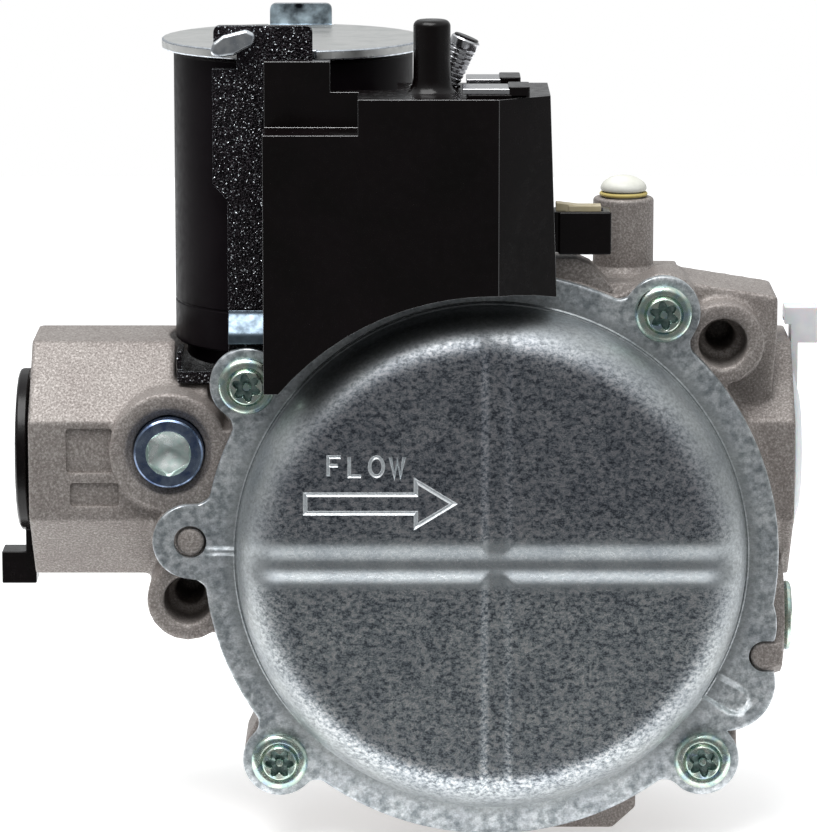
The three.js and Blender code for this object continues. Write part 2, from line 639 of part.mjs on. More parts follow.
function operatorCover() {
  const { frontY, backY, wall, deckZ, right } = OPERATOR;
  const outside = prismY(operatorFront(0), frontY, backY).intersect(prismZ(operatorPlan(0), 0, 90));
  const hollow = prismY(operatorFront(wall), frontY, backY + 5);
  const solidHead = block([-31, -4, 58], [-16, 0, 75]); // the hollow stops short of the strap's head
  const inside = hollow.intersect(prismZ(operatorPlan(wall), 0, 90)).subtract(solidHead);
  const behindFlange = block([-20, -1.4, 20], [right + 2, backY + 2, 42]);
  const upperLeft = block([-31.5, -4, 58], [-22.4, -1.4, 70]);
  const upperMiddle = block([-22.5, -4, 58], [-16, -1.4, deckZ]);
  const shell = cut(join(outside, upperLeft, upperMiddle), inside, behindFlange);
  const post = turned([
    [0, -1], [3, -1], [3, 0], [2.5, 0.5], [2.5, 9.2], [1.9, 9.8], [0, 9.8],
  ]).translate([-8.4, -3, deckZ]);
  const slot = block([-11.4, 1.1, deckZ - 4], [-4.4, 4.9, deckZ + 4]);
  const bladeSlots = [block([-2.1, -10.6, 60], [-0.9, -5.4, 70]), block([0.9, 0.9, 60], [2.1, 6.1, 70])];
  const { x, z } = SCREWS[0];
  const screwRoom = bar('y', 4.7, -4.4, 0, [x, z], 20);
  return cut(join(shell, post), slot, ...bladeSlots, screwRoom);
}

/** Quick-connect blade lying on the deck, with a leg that goes down through its slot. */
function terminal(left, width, length, legX) {
  const z = OPERATOR.deckZ + 0.5;
  const blade = block([left, -width / 2, z], [left + length, width / 2, z + 0.8]);
  const leg = block([legX - 0.4, -width / 2 + 1, OPERATOR.deckZ - 5], [legX + 0.4, width / 2 - 1, z + 0.1]);
  return blade.add(leg);
}

function operatorParts() {
  const group = new THREE.Group();
  add(group, 'operator_cover', operatorCover(), blackPlastic);
  add(group, 'terminal_front', terminal(-4.3, 6.2, 8.9, -1.5).translate([0, -8, 0]), brightSteel);
  add(group, 'terminal_rear', terminal(-3.6, 6.2, 7.2, 1.5).translate([0, 3.5, 0]), brightSteel);
  const { x, y, z, tilt } = SWITCH;
  const box = block([x - 3.4, -0.6, 53.5], [x + 3.4, 6.6, z + 1.6]);
  const ballRoom = block([x - 2.6, y - 1.9, z - 2.4], [x + 2.6, y + 1.9, z + 2]);
  add(group, 'switch_housing', box.subtract(ballRoom), blackPlastic);
  const pivot = along('z', x, y, z);
  pivot.rotation.y = radians(tilt);
  const lever = [[0, -1.3], [0.9, -1.1], [1.35, 0], [1.1, 1.2], [1.15, 4.2]];
  for (let i = 0; i < 5; i++) {
    const at = 4.4 + i * 1.3;
    const r = 1.4 + i * 0.13;
    lever.push([r, at], [r + 0.05, at + 0.7], [r - 0.15, at + 0.85]);
  }
  lever.push([2.05, 11.1], [1.9, 11.4], [0, 11.4]);
  add(pivot, 'toggle_lever', turned(lever, 10), brightSteel);
  group.add(pivot);
  return group;
}

/** Small servo solenoid inside the housing, over the control port on top of the casting. */
function servo() {
  const group = along('z', SERVO.x, SERVO.y, 0);
  add(group, 'servo_bobbin', turned([
    [1.9, 47], [3.5, 47], [3.5, 47.8], [2.3, 47.8], [2.3, 57.2], [3.5, 57.2], [3.5, 58], [1.9, 58],
  ], 24), whitePlastic);
  add(group, 'servo_winding', turned([[2.4, 47.9], [3.4, 47.9], [3.4, 57.1], [2.4, 57.1]], 24), copper);
  add(group, 'servo_core', turned([[0, 53.4], [1.75, 53.4], [1.75, 58.6], [0, 58.6]], 20), brightSteel);
  add(group, 'servo_plunger', turned([
    [0, 44.8], [1.1, 44.8], [1.1, 45.4], [1.6, 46], [1.6, 51.8], [0, 51.8],
  ], 20), brightSteel);
  add(group, 'servo_spring', spring(1.2, 0.2, 51.9, 53.3, 2), brightSteel);
  const bracket = cut(block([-4.3, -3.3, 46.1], [4.3, 3.3, 59.8]), block([-3.7, -4, 46.8], [3.7, 4, 59]));
  add(group, 'servo_bracket', cut(bracket, bar('z', 1.85, 45, 47.5, [0, 0], 20)), darkZinc);
  return group;
}

function sideConnector() {
  const group = new THREE.Group();
  const shell = block([9.2, 0, 42.6], [16.6, 5.4, 48.6]);
  const socket = block([10.4, 1.2, 43.8], [15.4, 4.2, 50]);
  add(group, 'side_connector', shell.subtract(socket), blackPlastic);
  const insert = block([10.6, 1.4, 44], [15.2, 4, 49.3]);
  const contacts = [-1.1, 1.1].map((dx) => block([12.9 + dx - 0.4, 2.3, 46], [12.9 + dx + 0.4, 3.1, 50]));
  add(group, 'connector_insert', cut(insert, ...contacts), creamPlastic);
  return group;
}

// Pressure regulator -----------------------------------------------------------------------------

function regulator() {
  const group = along('z', REGULATOR.x, REGULATOR.y, 0);
  const { towerR, top, flangeR, flangeTop, boreR } = REGULATOR;
  const base = POCKET.rimZ + 0.2;
  const housing = turned([
    [boreR, base], [flangeR, base], [flangeR, flangeTop], [towerR + 0.6, flangeTop + 0.7],
    [towerR, flangeTop + 1.4], [towerR, top - 0.7], [towerR - 0.7, top], [boreR, top],
  ]);
  add(group, 'regulator_housing', housing, castAluminium);
  const sheet = turned([[0, 32.6], [POCKET.r - 0.2, 32.6], [POCKET.r - 0.2, 33.2], [0, 33.2]]);
  add(group, 'regulator_diaphragm', sheet, blackRubber);
  const cup = turned([[0, 33.5], [2.6, 33.5], [2.6, 34.3], [1.3, 34.3], [1.3, 35.4], [0, 35.4]], 24);
  add(group, 'regulator_spring_cup', cup, brightSteel);
  add(group, 'regulator_spring', spring(2.05, 0.3, 34.5, top - 6.3, 6), brightSteel);
  const head = top - 2.2;
  const screw = turned([[0, head - 4], [2.75, head - 4], [2.75, head - 0.4], [2.4, head], [0, head]]);
  add(group, 'regulator_screw', cut(screw, block([-2, -0.4, head - 1.2], [2, 0.4, head + 1])), brass);
  add(group, 'regulator_cap_ring', ring(3.15, 0.35, top + 0.45), yellowRubber);
  const cap = [[0, top - 1.8], [2.6, top - 1.8], [2.6, top + 0.9], [3.3, top + 0.95]];
  for (let i = 0; i <= 4; i++) {
    const angle = (i * Math.PI) / 8;
    cap.push([3.3 * Math.cos(angle), top + 1.2 + 1.9 * Math.sin(angle)]);
  }
  add(group, 'regulator_seal_cap', turned(cap, 24), whitePlastic);
  return group;
}

// Dust caps --------------------------------------------------------------------------------------

/** Plug-in cap: a disc on a hub over the port, with a skirt in its bore. Local Z points out. */
function dustCap({ hubR, hub, discR, disc, crown }) {
  const skirtR = PORT.boreR - FIT;
  const skirt = 8;
  const back = GAP + hub;
  const top = back + disc;
  return turned([
    [0, -0.6], [skirtR - 1.2, -0.6], [skirtR - 1.2, -skirt], [skirtR - 0.2, -skirt],
    [skirtR, -0.6], [skirtR, GAP], [hubR, GAP], [hubR, back], [discR, back], [discR, top - 0.3],
    [discR - 0.5, top], [discR * 0.7, top + crown * 0.7], [0, top + crown],
  ]);
}

function inletCap() {
  const group = along('x', PORT.inletX, PORT.y, PORT.z);
  group.rotation.y = -Math.PI / 2;
  const cap = dustCap({ hubR: 10.3, hub: 0.7, discR: 11.7, disc: 1.6, crown: 0 });
  const tongue = block([-19.4, -2.5, 0.8], [-9, 2.5, 1.7]);
  const grip = block([-19.4, -2.5, 0.2], [-14.7, 2.5, 5.2]);
  add(group, 'inlet_dust_cap', join(cap, tongue, grip), blackPlastic);
  return group;
}

function outletCap() {
  const group = along('x', PORT.outletX, PORT.y, PORT.z);
  const cap = dustCap({ hubR: 11, hub: 0.1, discR: 12.1, disc: 0.6, crown: 1.2 });
  const strap = block([-21, -2.5, 0.3], [-9, 2.5, 1.3]);
  const slot = block([-19.2, -1, -3], [-17.2, 1, 6]);
  const bossRoom = block([-18.6, -4, -3], [-12, 4, 0.3]);
  const tab = cut(block([-21, -2.5, -0.6], [-15.9, 2.5, 4.1]), slot, bossRoom);
  add(group, 'outlet_dust_cap', join(cap, strap, tab), whitePlastic);
  return group;
}

// Assembly ---------------------------------------------------------------------------------------

const valve = new THREE.Group();
valve.position.set(-PORT.inletX, -PORT.y, -PORT.z);

add(valve, 'valve_body', valveBody(), castAluminium);
const screen = along('x', -48.2, PORT.y, PORT.z);
add(screen, 'inlet_screen', inletScreen(), brightSteel);
valve.add(screen);

const inletTap = along('y', INLET_TAP.x, -0.1, INLET_TAP.z);
inletTap.rotation.x = Math.PI / 2;
add(inletTap, 'inlet_tap_plug', tapPlug(), zincScrew);
const outletTap = along('x', PORT.outletX - GAP, OUTLET_TAP.y, OUTLET_TAP.z);
add(outletTap, 'outlet_tap_plug', tapPlug(), zincScrew);
valve.add(inletTap, outletTap);

add(valve, 'diaphragm_cover', diaphragmCover(), zincSheet);
add(valve, 'main_diaphragm', mainDiaphragm(), blackRubber);
SCREWS.forEach(({ x, z }, i) => {
  const screw = along('y', x, -COVER.sheet - GAP, z);
  screw.rotation.x = Math.PI / 2;
  add(screw, `cover_screw_${i + 1}`, coverScrew(8.5), zincScrew);
  valve.add(screw);
});

valve.add(mainValve(), solenoid(), operatorParts(), servo(), sideConnector(), regulator());
valve.add(inletCap(), outletCap());

const gasValve = new THREE.Group();
gasValve.add(valve);

export default gasValve;
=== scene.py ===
"""Looks of a combination gas valve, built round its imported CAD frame.

Shapes are drawn in millimetres about the diaphragm's axis: X to the right, Y to the back, Z up, with
Y = 0 at the back of the cover flange. FRAME turns that drawing into the row frame's metres.
"""
import json
import math

import bmesh
import bpy
from mathutils import Matrix, Vector


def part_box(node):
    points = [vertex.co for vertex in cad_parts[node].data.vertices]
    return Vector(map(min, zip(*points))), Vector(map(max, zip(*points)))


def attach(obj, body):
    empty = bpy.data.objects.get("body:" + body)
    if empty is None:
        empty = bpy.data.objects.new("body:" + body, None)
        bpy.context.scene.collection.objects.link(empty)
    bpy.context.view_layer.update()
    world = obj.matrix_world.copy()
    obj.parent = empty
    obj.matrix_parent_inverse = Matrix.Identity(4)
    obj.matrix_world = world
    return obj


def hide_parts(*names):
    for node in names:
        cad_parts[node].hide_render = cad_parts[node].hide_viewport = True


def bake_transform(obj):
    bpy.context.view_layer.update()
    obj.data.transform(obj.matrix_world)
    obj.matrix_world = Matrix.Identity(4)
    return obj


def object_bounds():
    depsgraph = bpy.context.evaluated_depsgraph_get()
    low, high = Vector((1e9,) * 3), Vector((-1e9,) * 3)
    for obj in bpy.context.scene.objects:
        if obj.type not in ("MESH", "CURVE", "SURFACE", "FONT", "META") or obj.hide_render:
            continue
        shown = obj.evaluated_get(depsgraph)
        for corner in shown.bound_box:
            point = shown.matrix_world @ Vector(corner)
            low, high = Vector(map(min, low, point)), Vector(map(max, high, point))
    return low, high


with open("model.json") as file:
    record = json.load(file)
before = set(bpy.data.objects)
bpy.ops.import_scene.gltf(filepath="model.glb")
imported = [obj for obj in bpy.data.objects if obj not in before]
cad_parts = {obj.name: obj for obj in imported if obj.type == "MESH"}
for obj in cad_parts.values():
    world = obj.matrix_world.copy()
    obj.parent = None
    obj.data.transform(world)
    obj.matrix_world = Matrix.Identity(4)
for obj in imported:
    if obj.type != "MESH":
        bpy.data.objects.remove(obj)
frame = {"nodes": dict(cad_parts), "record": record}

cad_low, cad_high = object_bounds()
scene = bpy.context.scene

# ---------------------------------------- the drawing frame

MM = 0.001
diaphragm_low, diaphragm_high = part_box("main_diaphragm")
AXIS = (diaphragm_low + diaphragm_high) / 2
FLANGE_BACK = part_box("diaphragm_cover")[1].y
FRAME = Matrix.Translation((AXIS.x, FLANGE_BACK, AXIS.z)) @ Matrix.Scale(MM, 4)

TURNS = {
    "z": Matrix(),
    "x": Matrix.Rotation(math.pi / 2, 4, "Y"),
    "-x": Matrix.Rotation(-math.pi / 2, 4, "Y"),
    "y": Matrix.Rotation(-math.pi / 2, 4, "X"),
    "-y": Matrix.Rotation(math.pi / 2, 4, "X"),
}


def placed(x=0.0, y=0.0, z=0.0, axis="z"):
    """Matrix from local millimetres to the frame, with local Z along one of the drawing's axes."""
    return FRAME @ Matrix.Translation((x, y, z)) @ TURNS[axis]


def reach(node):
    """Lowest and highest corner of a CAD node, in drawing millimetres."""
    back = FRAME.inverted()
    low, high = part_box(node)
    return back @ low, back @ high


def middle(node):
    """Centre of a CAD node's box, in drawing millimetres."""
    low, high = reach(node)
    return (low + high) / 2


RECORD = frame["record"]
BODY_OF = {n: body for body, nodes in RECORD["behaviour"]["bodies"].items() for n in nodes}
SLOT_OF = {part["node"]: part["material_slot"] for part in RECORD["subparts"]}

# ---------------------------------------- materials

MIX_A, MIX_B, MIX_RESULT = 6, 7, 2  # the colour sockets of a mix node


class Look:
    """A procedural material, with short ways to add its nodes."""

    def __init__(self, name, **shader):
        self.material = bpy.data.materials.new(name)
        self.material.use_nodes = True
        self.tree = self.material.node_tree
        self.shader = self.tree.nodes["Principled BSDF"]
        for socket, value in shader.items():
            self.shader.inputs[socket.replace("_", " ")].default_value = value
        self.where = self.add("ShaderNodeTexCoord").outputs["Object"]

    def add(self, kind, **settings):
        node = self.tree.nodes.new(kind)
        for key, value in settings.items():
            setattr(node, key, value)
        return node

    def link(self, source, target):
        self.tree.links.new(source, target)

    def stretched(self, x=1.0, y=1.0, z=1.0):
        """Object coordinates scaled per axis, for grain that runs one way."""
        mapping = self.add("ShaderNodeMapping")
        mapping.inputs["Scale"].default_value = (x, y, z)
        self.link(self.where, mapping.inputs["Vector"])
        return mapping.outputs["Vector"]

    def noise(self, size, detail=2.0, roughness=0.5, where=None):
        """Noise whose blobs are about size millimetres across."""
        node = self.add("ShaderNodeTexNoise")
        node.inputs["Scale"].default_value = 1 / (size * MM)
        node.inputs["Detail"].default_value = detail
        node.inputs["Roughness"].default_value = roughness
        self.link(where or self.where, node.inputs["Vector"])
        return node.outputs["Fac"]

    def cells(self, size):
        """Cells about size millimetres across, each with a shade of its own."""
        node = self.add("ShaderNodeTexVoronoi")
        node.inputs["Scale"].default_value = 1 / (size * MM)
        self.link(self.where, node.inputs["Vector"])
        return node.outputs["Color"]

    def from_axis(self, span=50):
        """Distance from the cover's axis as a share of span millimetres, and height across it as 0 to 1."""
        offset = self.add("ShaderNodeVectorMath", operation="SUBTRACT")
        self.link(self.where, offset.inputs[0])
        offset.inputs[1].default_value = AXIS
        share = self.add("ShaderNodeVectorMath", operation="MULTIPLY")
        self.link(offset.outputs["Vector"], share.inputs[0])
        share.inputs[1].default_value = (1 / (span * MM), 0, 1 / (span * MM))
        length = self.add("ShaderNodeVectorMath", operation="LENGTH")
        self.link(share.outputs["Vector"], length.inputs[0])
        parts = self.add("ShaderNodeSeparateXYZ")
        self.link(share.outputs["Vector"], parts.inputs[0])
        up = self.add("ShaderNodeMath", operation="MULTIPLY_ADD")
        self.link(parts.outputs["Z"], up.inputs[0])
        up.inputs[1].default_value = 0.5
        up.inputs[2].default_value = 0.5
        return length.outputs["Value"], up.outputs[0]

    def ramp(self, source, *stops):
        """Colour ramp; each stop is a position and a grey level or a colour."""
        node = self.add("ShaderNodeValToRGB")
        elements = node.color_ramp.elements
        while len(elements) < len(stops):
            elements.new(0.5)
        for element, (position, value) in zip(elements, stops):
            element.position = position
            element.color = (*value, 1) if isinstance(value, tuple) else (value, value, value, 1)
        self.link(source, node.inputs["Fac"])
        return node.outputs["Color"]

    def mix(self, factor, a, b, blend="MIX"):
        """Two colours, each a socket or a value, mixed by a factor."""
        node = self.add("ShaderNodeMix", data_type="RGBA", blend_type=blend)
        for key, value in (("Factor", factor), (MIX_A, a), (MIX_B, b)):
            socket = node.inputs[key]
            if isinstance(value, bpy.types.NodeSocket):
                self.link(value, socket)
            elif isinstance(value, tuple):
                socket.default_value = (*value, 1)
            else:
                socket.default_value = value
        return node.outputs[MIX_RESULT]

    def paint(self, socket, source):
        self.link(source, self.shader.inputs[socket])

    def bump(self, height, depth, strength=1.0):
        """Adds relief of about depth millimetres to the shading normal, on top of any before it."""
        node = self.add("ShaderNodeBump")
        node.inputs["Strength"].default_value = strength
        node.inputs["Distance"].default_value = depth * MM
        self.link(height, node.inputs["Height"])
        normal = self.shader.inputs["Normal"]
        if normal.is_linked:
            self.link(normal.links[0].from_socket, node.inputs["Normal"])
        self.link(node.outputs["Normal"], normal)
        return self


def cast_aluminium():
    look = Look("cast_aluminium", Metallic=0.3)
    grain = look.noise(0.3, 3, 0.7)
    speckle = look.ramp(
        grain, (0.34, (0.21, 0.184, 0.17)), (0.52, (0.33, 0.3, 0.28)), (0.68, (0.54, 0.5, 0.475)),
    )
    stain = look.ramp(look.noise(7, 3), (0.3, (0.86, 0.84, 0.84)), (0.7, (1, 1, 1)))
    look.paint("Base Color", look.mix(1.0, speckle, stain, "MULTIPLY"))
    look.paint("Roughness", look.ramp(grain, (0.3, 0.62), (0.7, 0.45)))
    look.bump(look.noise(0.3, 3, 0.6), 0.1, 0.5)
    return look.material


def zinc_sheet():
    look = Look("zinc_sheet", Metallic=1.0)
    grain = look.noise(0.5, 4, 0.7)
    cloud = look.ramp(look.noise(4, 4), (0.34, (0.8, 0.81, 0.83)), (0.64, (1, 1, 1)))
    pale = look.ramp(grain, (0.36, (0.5, 0.52, 0.54)), (0.64, (0.76, 0.79, 0.81)))
    look.paint("Base Color", look.mix(1.0, pale, cloud, "MULTIPLY"))
    look.paint("Roughness", look.ramp(grain, (0.35, 0.46), (0.65, 0.34)))
    look.bump(look.noise(0.6, 4, 0.7), 0.05, 0.4)
    return look.material


def cover_zinc():
    """Zinc plate of the stamped cover: a dark mottled face with painted shade towards its top, a level
    groove in a lighter zinc as a painted highlight, a plainer drawn shoulder and a spangled rim.
    """
    look = Look("cover_zinc", Metallic=1.0)
    out, up = look.from_axis()
    grain = look.noise(0.55, 5, 0.8, look.stretched(0.8, 1, 1.1))
    spots = look.noise(1.1, 3, 0.65)
    cloud = look.ramp(look.noise(5, 4), (0.34, (0.8, 0.81, 0.83)), (0.64, (1, 1, 1)))
    face = look.ramp(grain, (0.4, (0.14, 0.155, 0.18)), (0.49, (0.5, 0.56, 0.6)), (0.58, (1, 1, 1)))
    # Painted shade: the face is darkened towards its top.
    face = look.mix(1.0, face, look.ramp(up, (0.42, (1, 1, 1)), (0.6, (0.66, 0.65, 0.68))), "MULTIPLY")
    # Painted highlight: the level groove across the face is painted in a lighter zinc.
    in_groove = look.ramp(up, (0.468, 0.0), (0.478, 1.0), (0.534, 1.0), (0.546, 0.0))
    groove_highlight_paint = look.ramp(grain, (0.34, (0.5, 0.55, 0.58)), (0.56, (0.8, 0.84, 0.86)))
    face = look.mix(in_groove, face, groove_highlight_paint)
    drawn = look.ramp(grain, (0.36, (0.36, 0.38, 0.385)), (0.62, (0.58, 0.61, 0.62)))
    rim = look.ramp(spots, (0.36, (0.42, 0.46, 0.48)), (0.5, (0.7, 0.74, 0.76)), (0.62, (0.95, 0.98, 1.0)))
    rim = look.mix(1.0, rim, look.ramp(grain, (0.36, 0.7), (0.6, 1.0)), "MULTIPLY")
    colour = look.mix(look.ramp(out, (0.6, 0.0), (0.68, 1.0)), face, drawn)
    colour = look.mix(look.ramp(out, (0.73, 0.0), (0.76, 1.0)), colour, rim)
    look.paint("Base Color", look.mix(1.0, colour, cloud, "MULTIPLY"))
    smooth = look.ramp(grain, (0.35, 0.36), (0.65, 0.24))
    matt = look.ramp(grain, (0.35, 0.56), (0.65, 0.44))
    look.paint("Roughness", look.mix(look.ramp(out, (0.57, 0.0), (0.66, 1.0)), smooth, matt))
    look.bump(grain, 0.04, 0.45)
    look.bump(spots, 0.06, 0.3)
    return look.material


def zinc_fastener():
    look = Look("zinc_fastener", Metallic=1.0)
    tint = look.ramp(
        look.noise(1.6, 2), (0.32, (0.44, 0.56, 0.66)), (0.46, (0.52, 0.68, 0.6)), (0.6, (0.74, 0.8, 0.7)),
        (0.72, (0.66, 0.76, 0.76)),
    )
    look.paint("Base Color", tint)
    look.paint("Roughness", look.ramp(look.noise(0.4, 3), (0.3, 0.3), (0.7, 0.16)))
    look.bump(look.noise(0.3, 3), 0.02, 0.4)
    return look.material


def dark_zinc():
    look = Look("dark_zinc", Metallic=1.0)
    facet = look.cells(0.18)
    sparkle = look.ramp(
        facet, (0.0, (0.014, 0.012, 0.014)), (0.8, (0.03, 0.027, 0.03)), (0.9, (0.9, 0.95, 1.0)),
    )
    look.paint("Base Color", sparkle)
    look.paint("Roughness", look.ramp(look.noise(0.5, 3), (0.3, 0.3), (0.7, 0.12)))
    look.bump(look.noise(0.34, 2, 0.6), 0.3)
    return look.material


def bright_steel():
    look = Look("bright_steel", Metallic=1.0)
    turned_marks = look.noise(0.5, 3, 0.6)
    look.paint("Base Color", look.ramp(turned_marks, (0.3, (0.6, 0.6, 0.62)), (0.7, (0.82, 0.82, 0.84))))
    look.paint("Roughness", look.ramp(turned_marks, (0.3, 0.26), (0.7, 0.14)))
    look.bump(turned_marks, 0.02, 0.3)
    return look.material


def black_plastic():
    look = Look("black_plastic", IOR=1.37)
    flow = look.noise(6, 3)
    black = look.ramp(flow, (0.3, (0.0016, 0.0007, 0.0006)), (0.7, (0.0036, 0.0018, 0.0022)))
    look.paint("Base Color", black)
    look.paint("Roughness", look.ramp(look.noise(1.1, 3), (0.3, 0.3), (0.7, 0.17)))
    look.bump(look.noise(0.7, 4, 0.6), 0.02, 0.35)
    return look.material


def jacket_plastic():
    """The coil's overmoulding: blacker and duller than the housing."""
    look = Look("jacket_plastic", Specular_IOR_Level=0.05)
    flow = look.noise(9, 3)
    black = look.ramp(flow, (0.3, (0.0035, 0.002, 0.0032)), (0.7, (0.0065, 0.0045, 0.006)))
    look.paint("Base Color", black)
    look.paint("Roughness", look.ramp(look.noise(1.1, 3), (0.3, 0.42), (0.7, 0.3)))
    look.bump(look.noise(0.7, 4, 0.6), 0.02, 0.3)
    return look.material


def edge_highlight_plastic():
    """Painted highlight: the moulded edges get a lighter black with a strong gloss."""
    look = Look("edge_highlight_plastic", IOR=3.6)
    rub = look.noise(1.4, 4, 0.7)
    look.paint("Base Color", look.ramp(rub, (0.36, (0.006, 0.005, 0.006)), (0.66, (0.03, 0.026, 0.028))))
    look.paint("Roughness", look.ramp(rub, (0.36, 0.32), (0.62, 0.12)))
    look.bump(rub, 0.03, 0.3)
    return look.material


def plain_plastic(name, dark, light, roughness=0.38):
    look = Look(name, IOR=1.48)
    look.paint("Base Color", look.ramp(look.noise(2.4, 3), (0.3, dark), (0.7, light)))
    look.paint("Roughness", look.ramp(look.noise(0.8, 3), (0.3, roughness + 0.08), (0.7, roughness - 0.08)))
    look.bump(look.noise(0.5, 3), 0.02, 0.3)
    return look.material


def white_plastic():
    material = plain_plastic("white_plastic", (0.76, 0.79, 0.83), (0.86, 0.88, 0.9))
    shader = material.node_tree.nodes["Principled BSDF"]
    shader.inputs["Subsurface Weight"].default_value = 0.35
    shader.inputs["Subsurface Scale"].default_value = 1.5 * MM
    return material


def metal(name, dark, light, grain=0.4, roughness=0.3):
    look = Look(name, Metallic=1.0)
    marks = look.noise(grain, 3)
    look.paint("Base Color", look.ramp(marks, (0.3, dark), (0.7, light)))
    look.paint("Roughness", look.ramp(marks, (0.3, roughness + 0.08), (0.7, roughness - 0.08)))
    look.bump(marks, 0.03, 0.4)
    return look.material


LOOKS = {
    "cast_aluminium": cast_aluminium(),
    "zinc_sheet": zinc_sheet(),
    "zinc_fastener": zinc_fastener(),
    "dark_zinc": dark_zinc(),
    "bright_steel": bright_steel(),
    "black_plastic": black_plastic(),
    "white_plastic": white_plastic(),
    "cream_plastic": plain_plastic("cream_plastic", (0.56, 0.48, 0.3), (0.66, 0.58, 0.4)),
    "black_rubber": plain_plastic("black_rubber", (0.012, 0.012, 0.012), (0.022, 0.022, 0.022), 0.6),
    "yellow_rubber": plain_plastic("yellow_rubber", (0.58, 0.46, 0.14), (0.68, 0.57, 0.22), 0.5),
    "copper_winding": metal("copper_winding", (0.4, 0.13, 0.05), (0.62, 0.24, 0.1)),
    "brass": metal("brass", (0.5, 0.36, 0.14), (0.7, 0.54, 0.26)),
    "cover_zinc": cover_zinc(),
    "jacket_plastic": jacket_plastic(),
    "edge_highlight_plastic": edge_highlight_plastic(),
    "blue_zinc": metal("blue_zinc", (0.09, 0.13, 0.24), (0.34, 0.42, 0.56), 1.3, 0.24),
    # Painted shade: a darker copy of the fastener zinc for the screw recesses.
    "recess_shade_zinc": metal("recess_shade_zinc", (0.1, 0.17, 0.16), (0.42, 0.54, 0.5), 0.8, 0.3),
    "plate_zinc": metal("plate_zinc", (0.6, 0.61, 0.6), (0.96, 0.96, 0.94), 4.0, 0.36),
    "dark_chrome": metal("dark_chrome", (0.01, 0.012, 0.016), (0.6, 0.74, 0.84), 2.6, 0.16),
    "ivory_plastic": plain_plastic("ivory_plastic", (0.7, 0.7, 0.62), (0.84, 0.84, 0.78)),
    "chrome": metal("chrome", (0.5, 0.54, 0.6), (0.95, 0.98, 1.0), 1.5, 0.16),
    "step_zinc": metal("step_zinc", (0.1, 0.13, 0.16), (0.22, 0.28, 0.34), 1.2, 0.34),
    # Painted highlight: a bright zinc for the bevelled edges of the dark strap and the plate.
    "edge_highlight_zinc": metal("edge_highlight_zinc", (0.45, 0.48, 0.52), (0.85, 0.9, 0.96), 0.7, 0.3),
    # Painted reflection: a brighter copy of the fastener zinc for the plugs' sockets.
    "socket_reflection_zinc": metal("socket_reflection_zinc", (0.62, 0.76, 0.72), (0.95, 0.98, 0.96), 1.2, 0.3),
    # Painted highlight: a lighter, rougher copy of the cover zinc for the pressed arrow and word.
    "engraved_highlight_zinc": metal("engraved_highlight_zinc", (0.7, 0.73, 0.75), (0.9, 0.93, 0.95), 0.3, 0.55),
}

# ---------------------------------------- shape tools

CREASE = 32  # degrees between two faces from which their edge is a hard one


def rounded(points, radius, steps=4):
    """A closed outline with its corners rounded. A point's own third number overrides the radius."""
    outline = []
    for i, point in enumerate(points):
        corner = Vector(point[:2])
        wanted = point[2] if len(point) == 3 else radius
        before = Vector(points[i - 1][:2]) - corner
        after = Vector(points[(i + 1) % len(points)][:2]) - corner
        half = before.angle(after) / 2
        if wanted <= 0 or half > math.radians(89):
            outline.append(corner)
            continue
        cut = min(wanted / math.tan(half), 0.48 * before.length, 0.48 * after.length)
        centre = corner + (before.normalized() + after.normalized()).normalized() * (cut / math.cos(half))
        start = corner + before.normalized() * cut - centre
        sweep = math.pi - 2 * half
        side = 1 if before.x * after.y - before.y * after.x < 0 else -1
        for step in range(steps + 1):
            angle = side * sweep * step / steps
            outline.append(centre + Matrix.Rotation(angle, 2) @ start)
    return outline


def skin(made, a, b):
    """Faces between two rings of vertices, either of which may be a single point."""
    segments = max(len(a), len(b))
    for i in range(segments):
        j = (i + 1) % segments
        corners = dict.fromkeys([a[i % len(a)], a[j % len(a)], b[j % len(b)], b[i % len(b)]])
        made.faces.new(list(corners))


def lathe(profile, place, segments=96, closed=False):
    """Surface of revolution about local Z. A profile point is a radius, or how it depends on the angle,
    and a height."""
    made = bmesh.new()
    angles = [2 * math.pi * i / segments for i in range(segments)]
    rings = []
    for radius, height in profile:
        if not callable(radius) and radius < 1e-6:
            rings.append([made.verts.new(place @ Vector((0, 0, height)))])
            continue
        ring = []
        for angle in angles:
            r = radius(angle) if callable(radius) else radius
            ring.append(made.verts.new(place @ Vector((r * math.cos(angle), r * math.sin(angle), height))))
        rings.append(ring)
    pairs = list(zip(rings, rings[1:]))
    if closed:
        pairs.append((rings[-1], rings[0]))
    for a, b in pairs:
        skin(made, a, b)
    return made


def prism(outline, low, high, place):
    """Outline in local X and Y, carried along local Z."""
    made = bmesh.new()
    ends = []
    for height in (low, high):
        ends.append([made.verts.new(place @ Vector((p[0], p[1], height))) for p in outline])
    for end in ends:
        made.faces.new(end)
    for i in range(len(outline)):
        j = (i + 1) % len(outline)
        made.faces.new([ends[0][i], ends[0][j], ends[1][j], ends[1][i]])
    return made


def from_cad(node):
    """The CAD node's shape with its flat faces whole again, so that its edges can be rounded."""
    made = bmesh.new()
    made.from_mesh(frame["nodes"][node].data)
    bmesh.ops.remove_doubles(made, verts=made.verts, dist=0.001 * MM)
    bmesh.ops.dissolve_limit(made, angle_limit=math.radians(0.6), verts=made.verts, edges=made.edges)
    return made


def as_object(name, made, sharp=CREASE):
    """Turns a bmesh into an object in the scene, smooth apart from its hard edges."""
    bmesh.ops.recalc_face_normals(made, faces=made.faces)
    mesh = bpy.data.meshes.new(name)
    made.to_mesh(mesh)
    made.free()
    mesh.polygons.foreach_set("use_smooth", [True] * len(mesh.polygons))
    mesh.set_sharp_from_angle(angle=math.radians(sharp))
    thing = bpy.data.objects.new(name, mesh)
    scene.collection.objects.link(thing)
    return thing


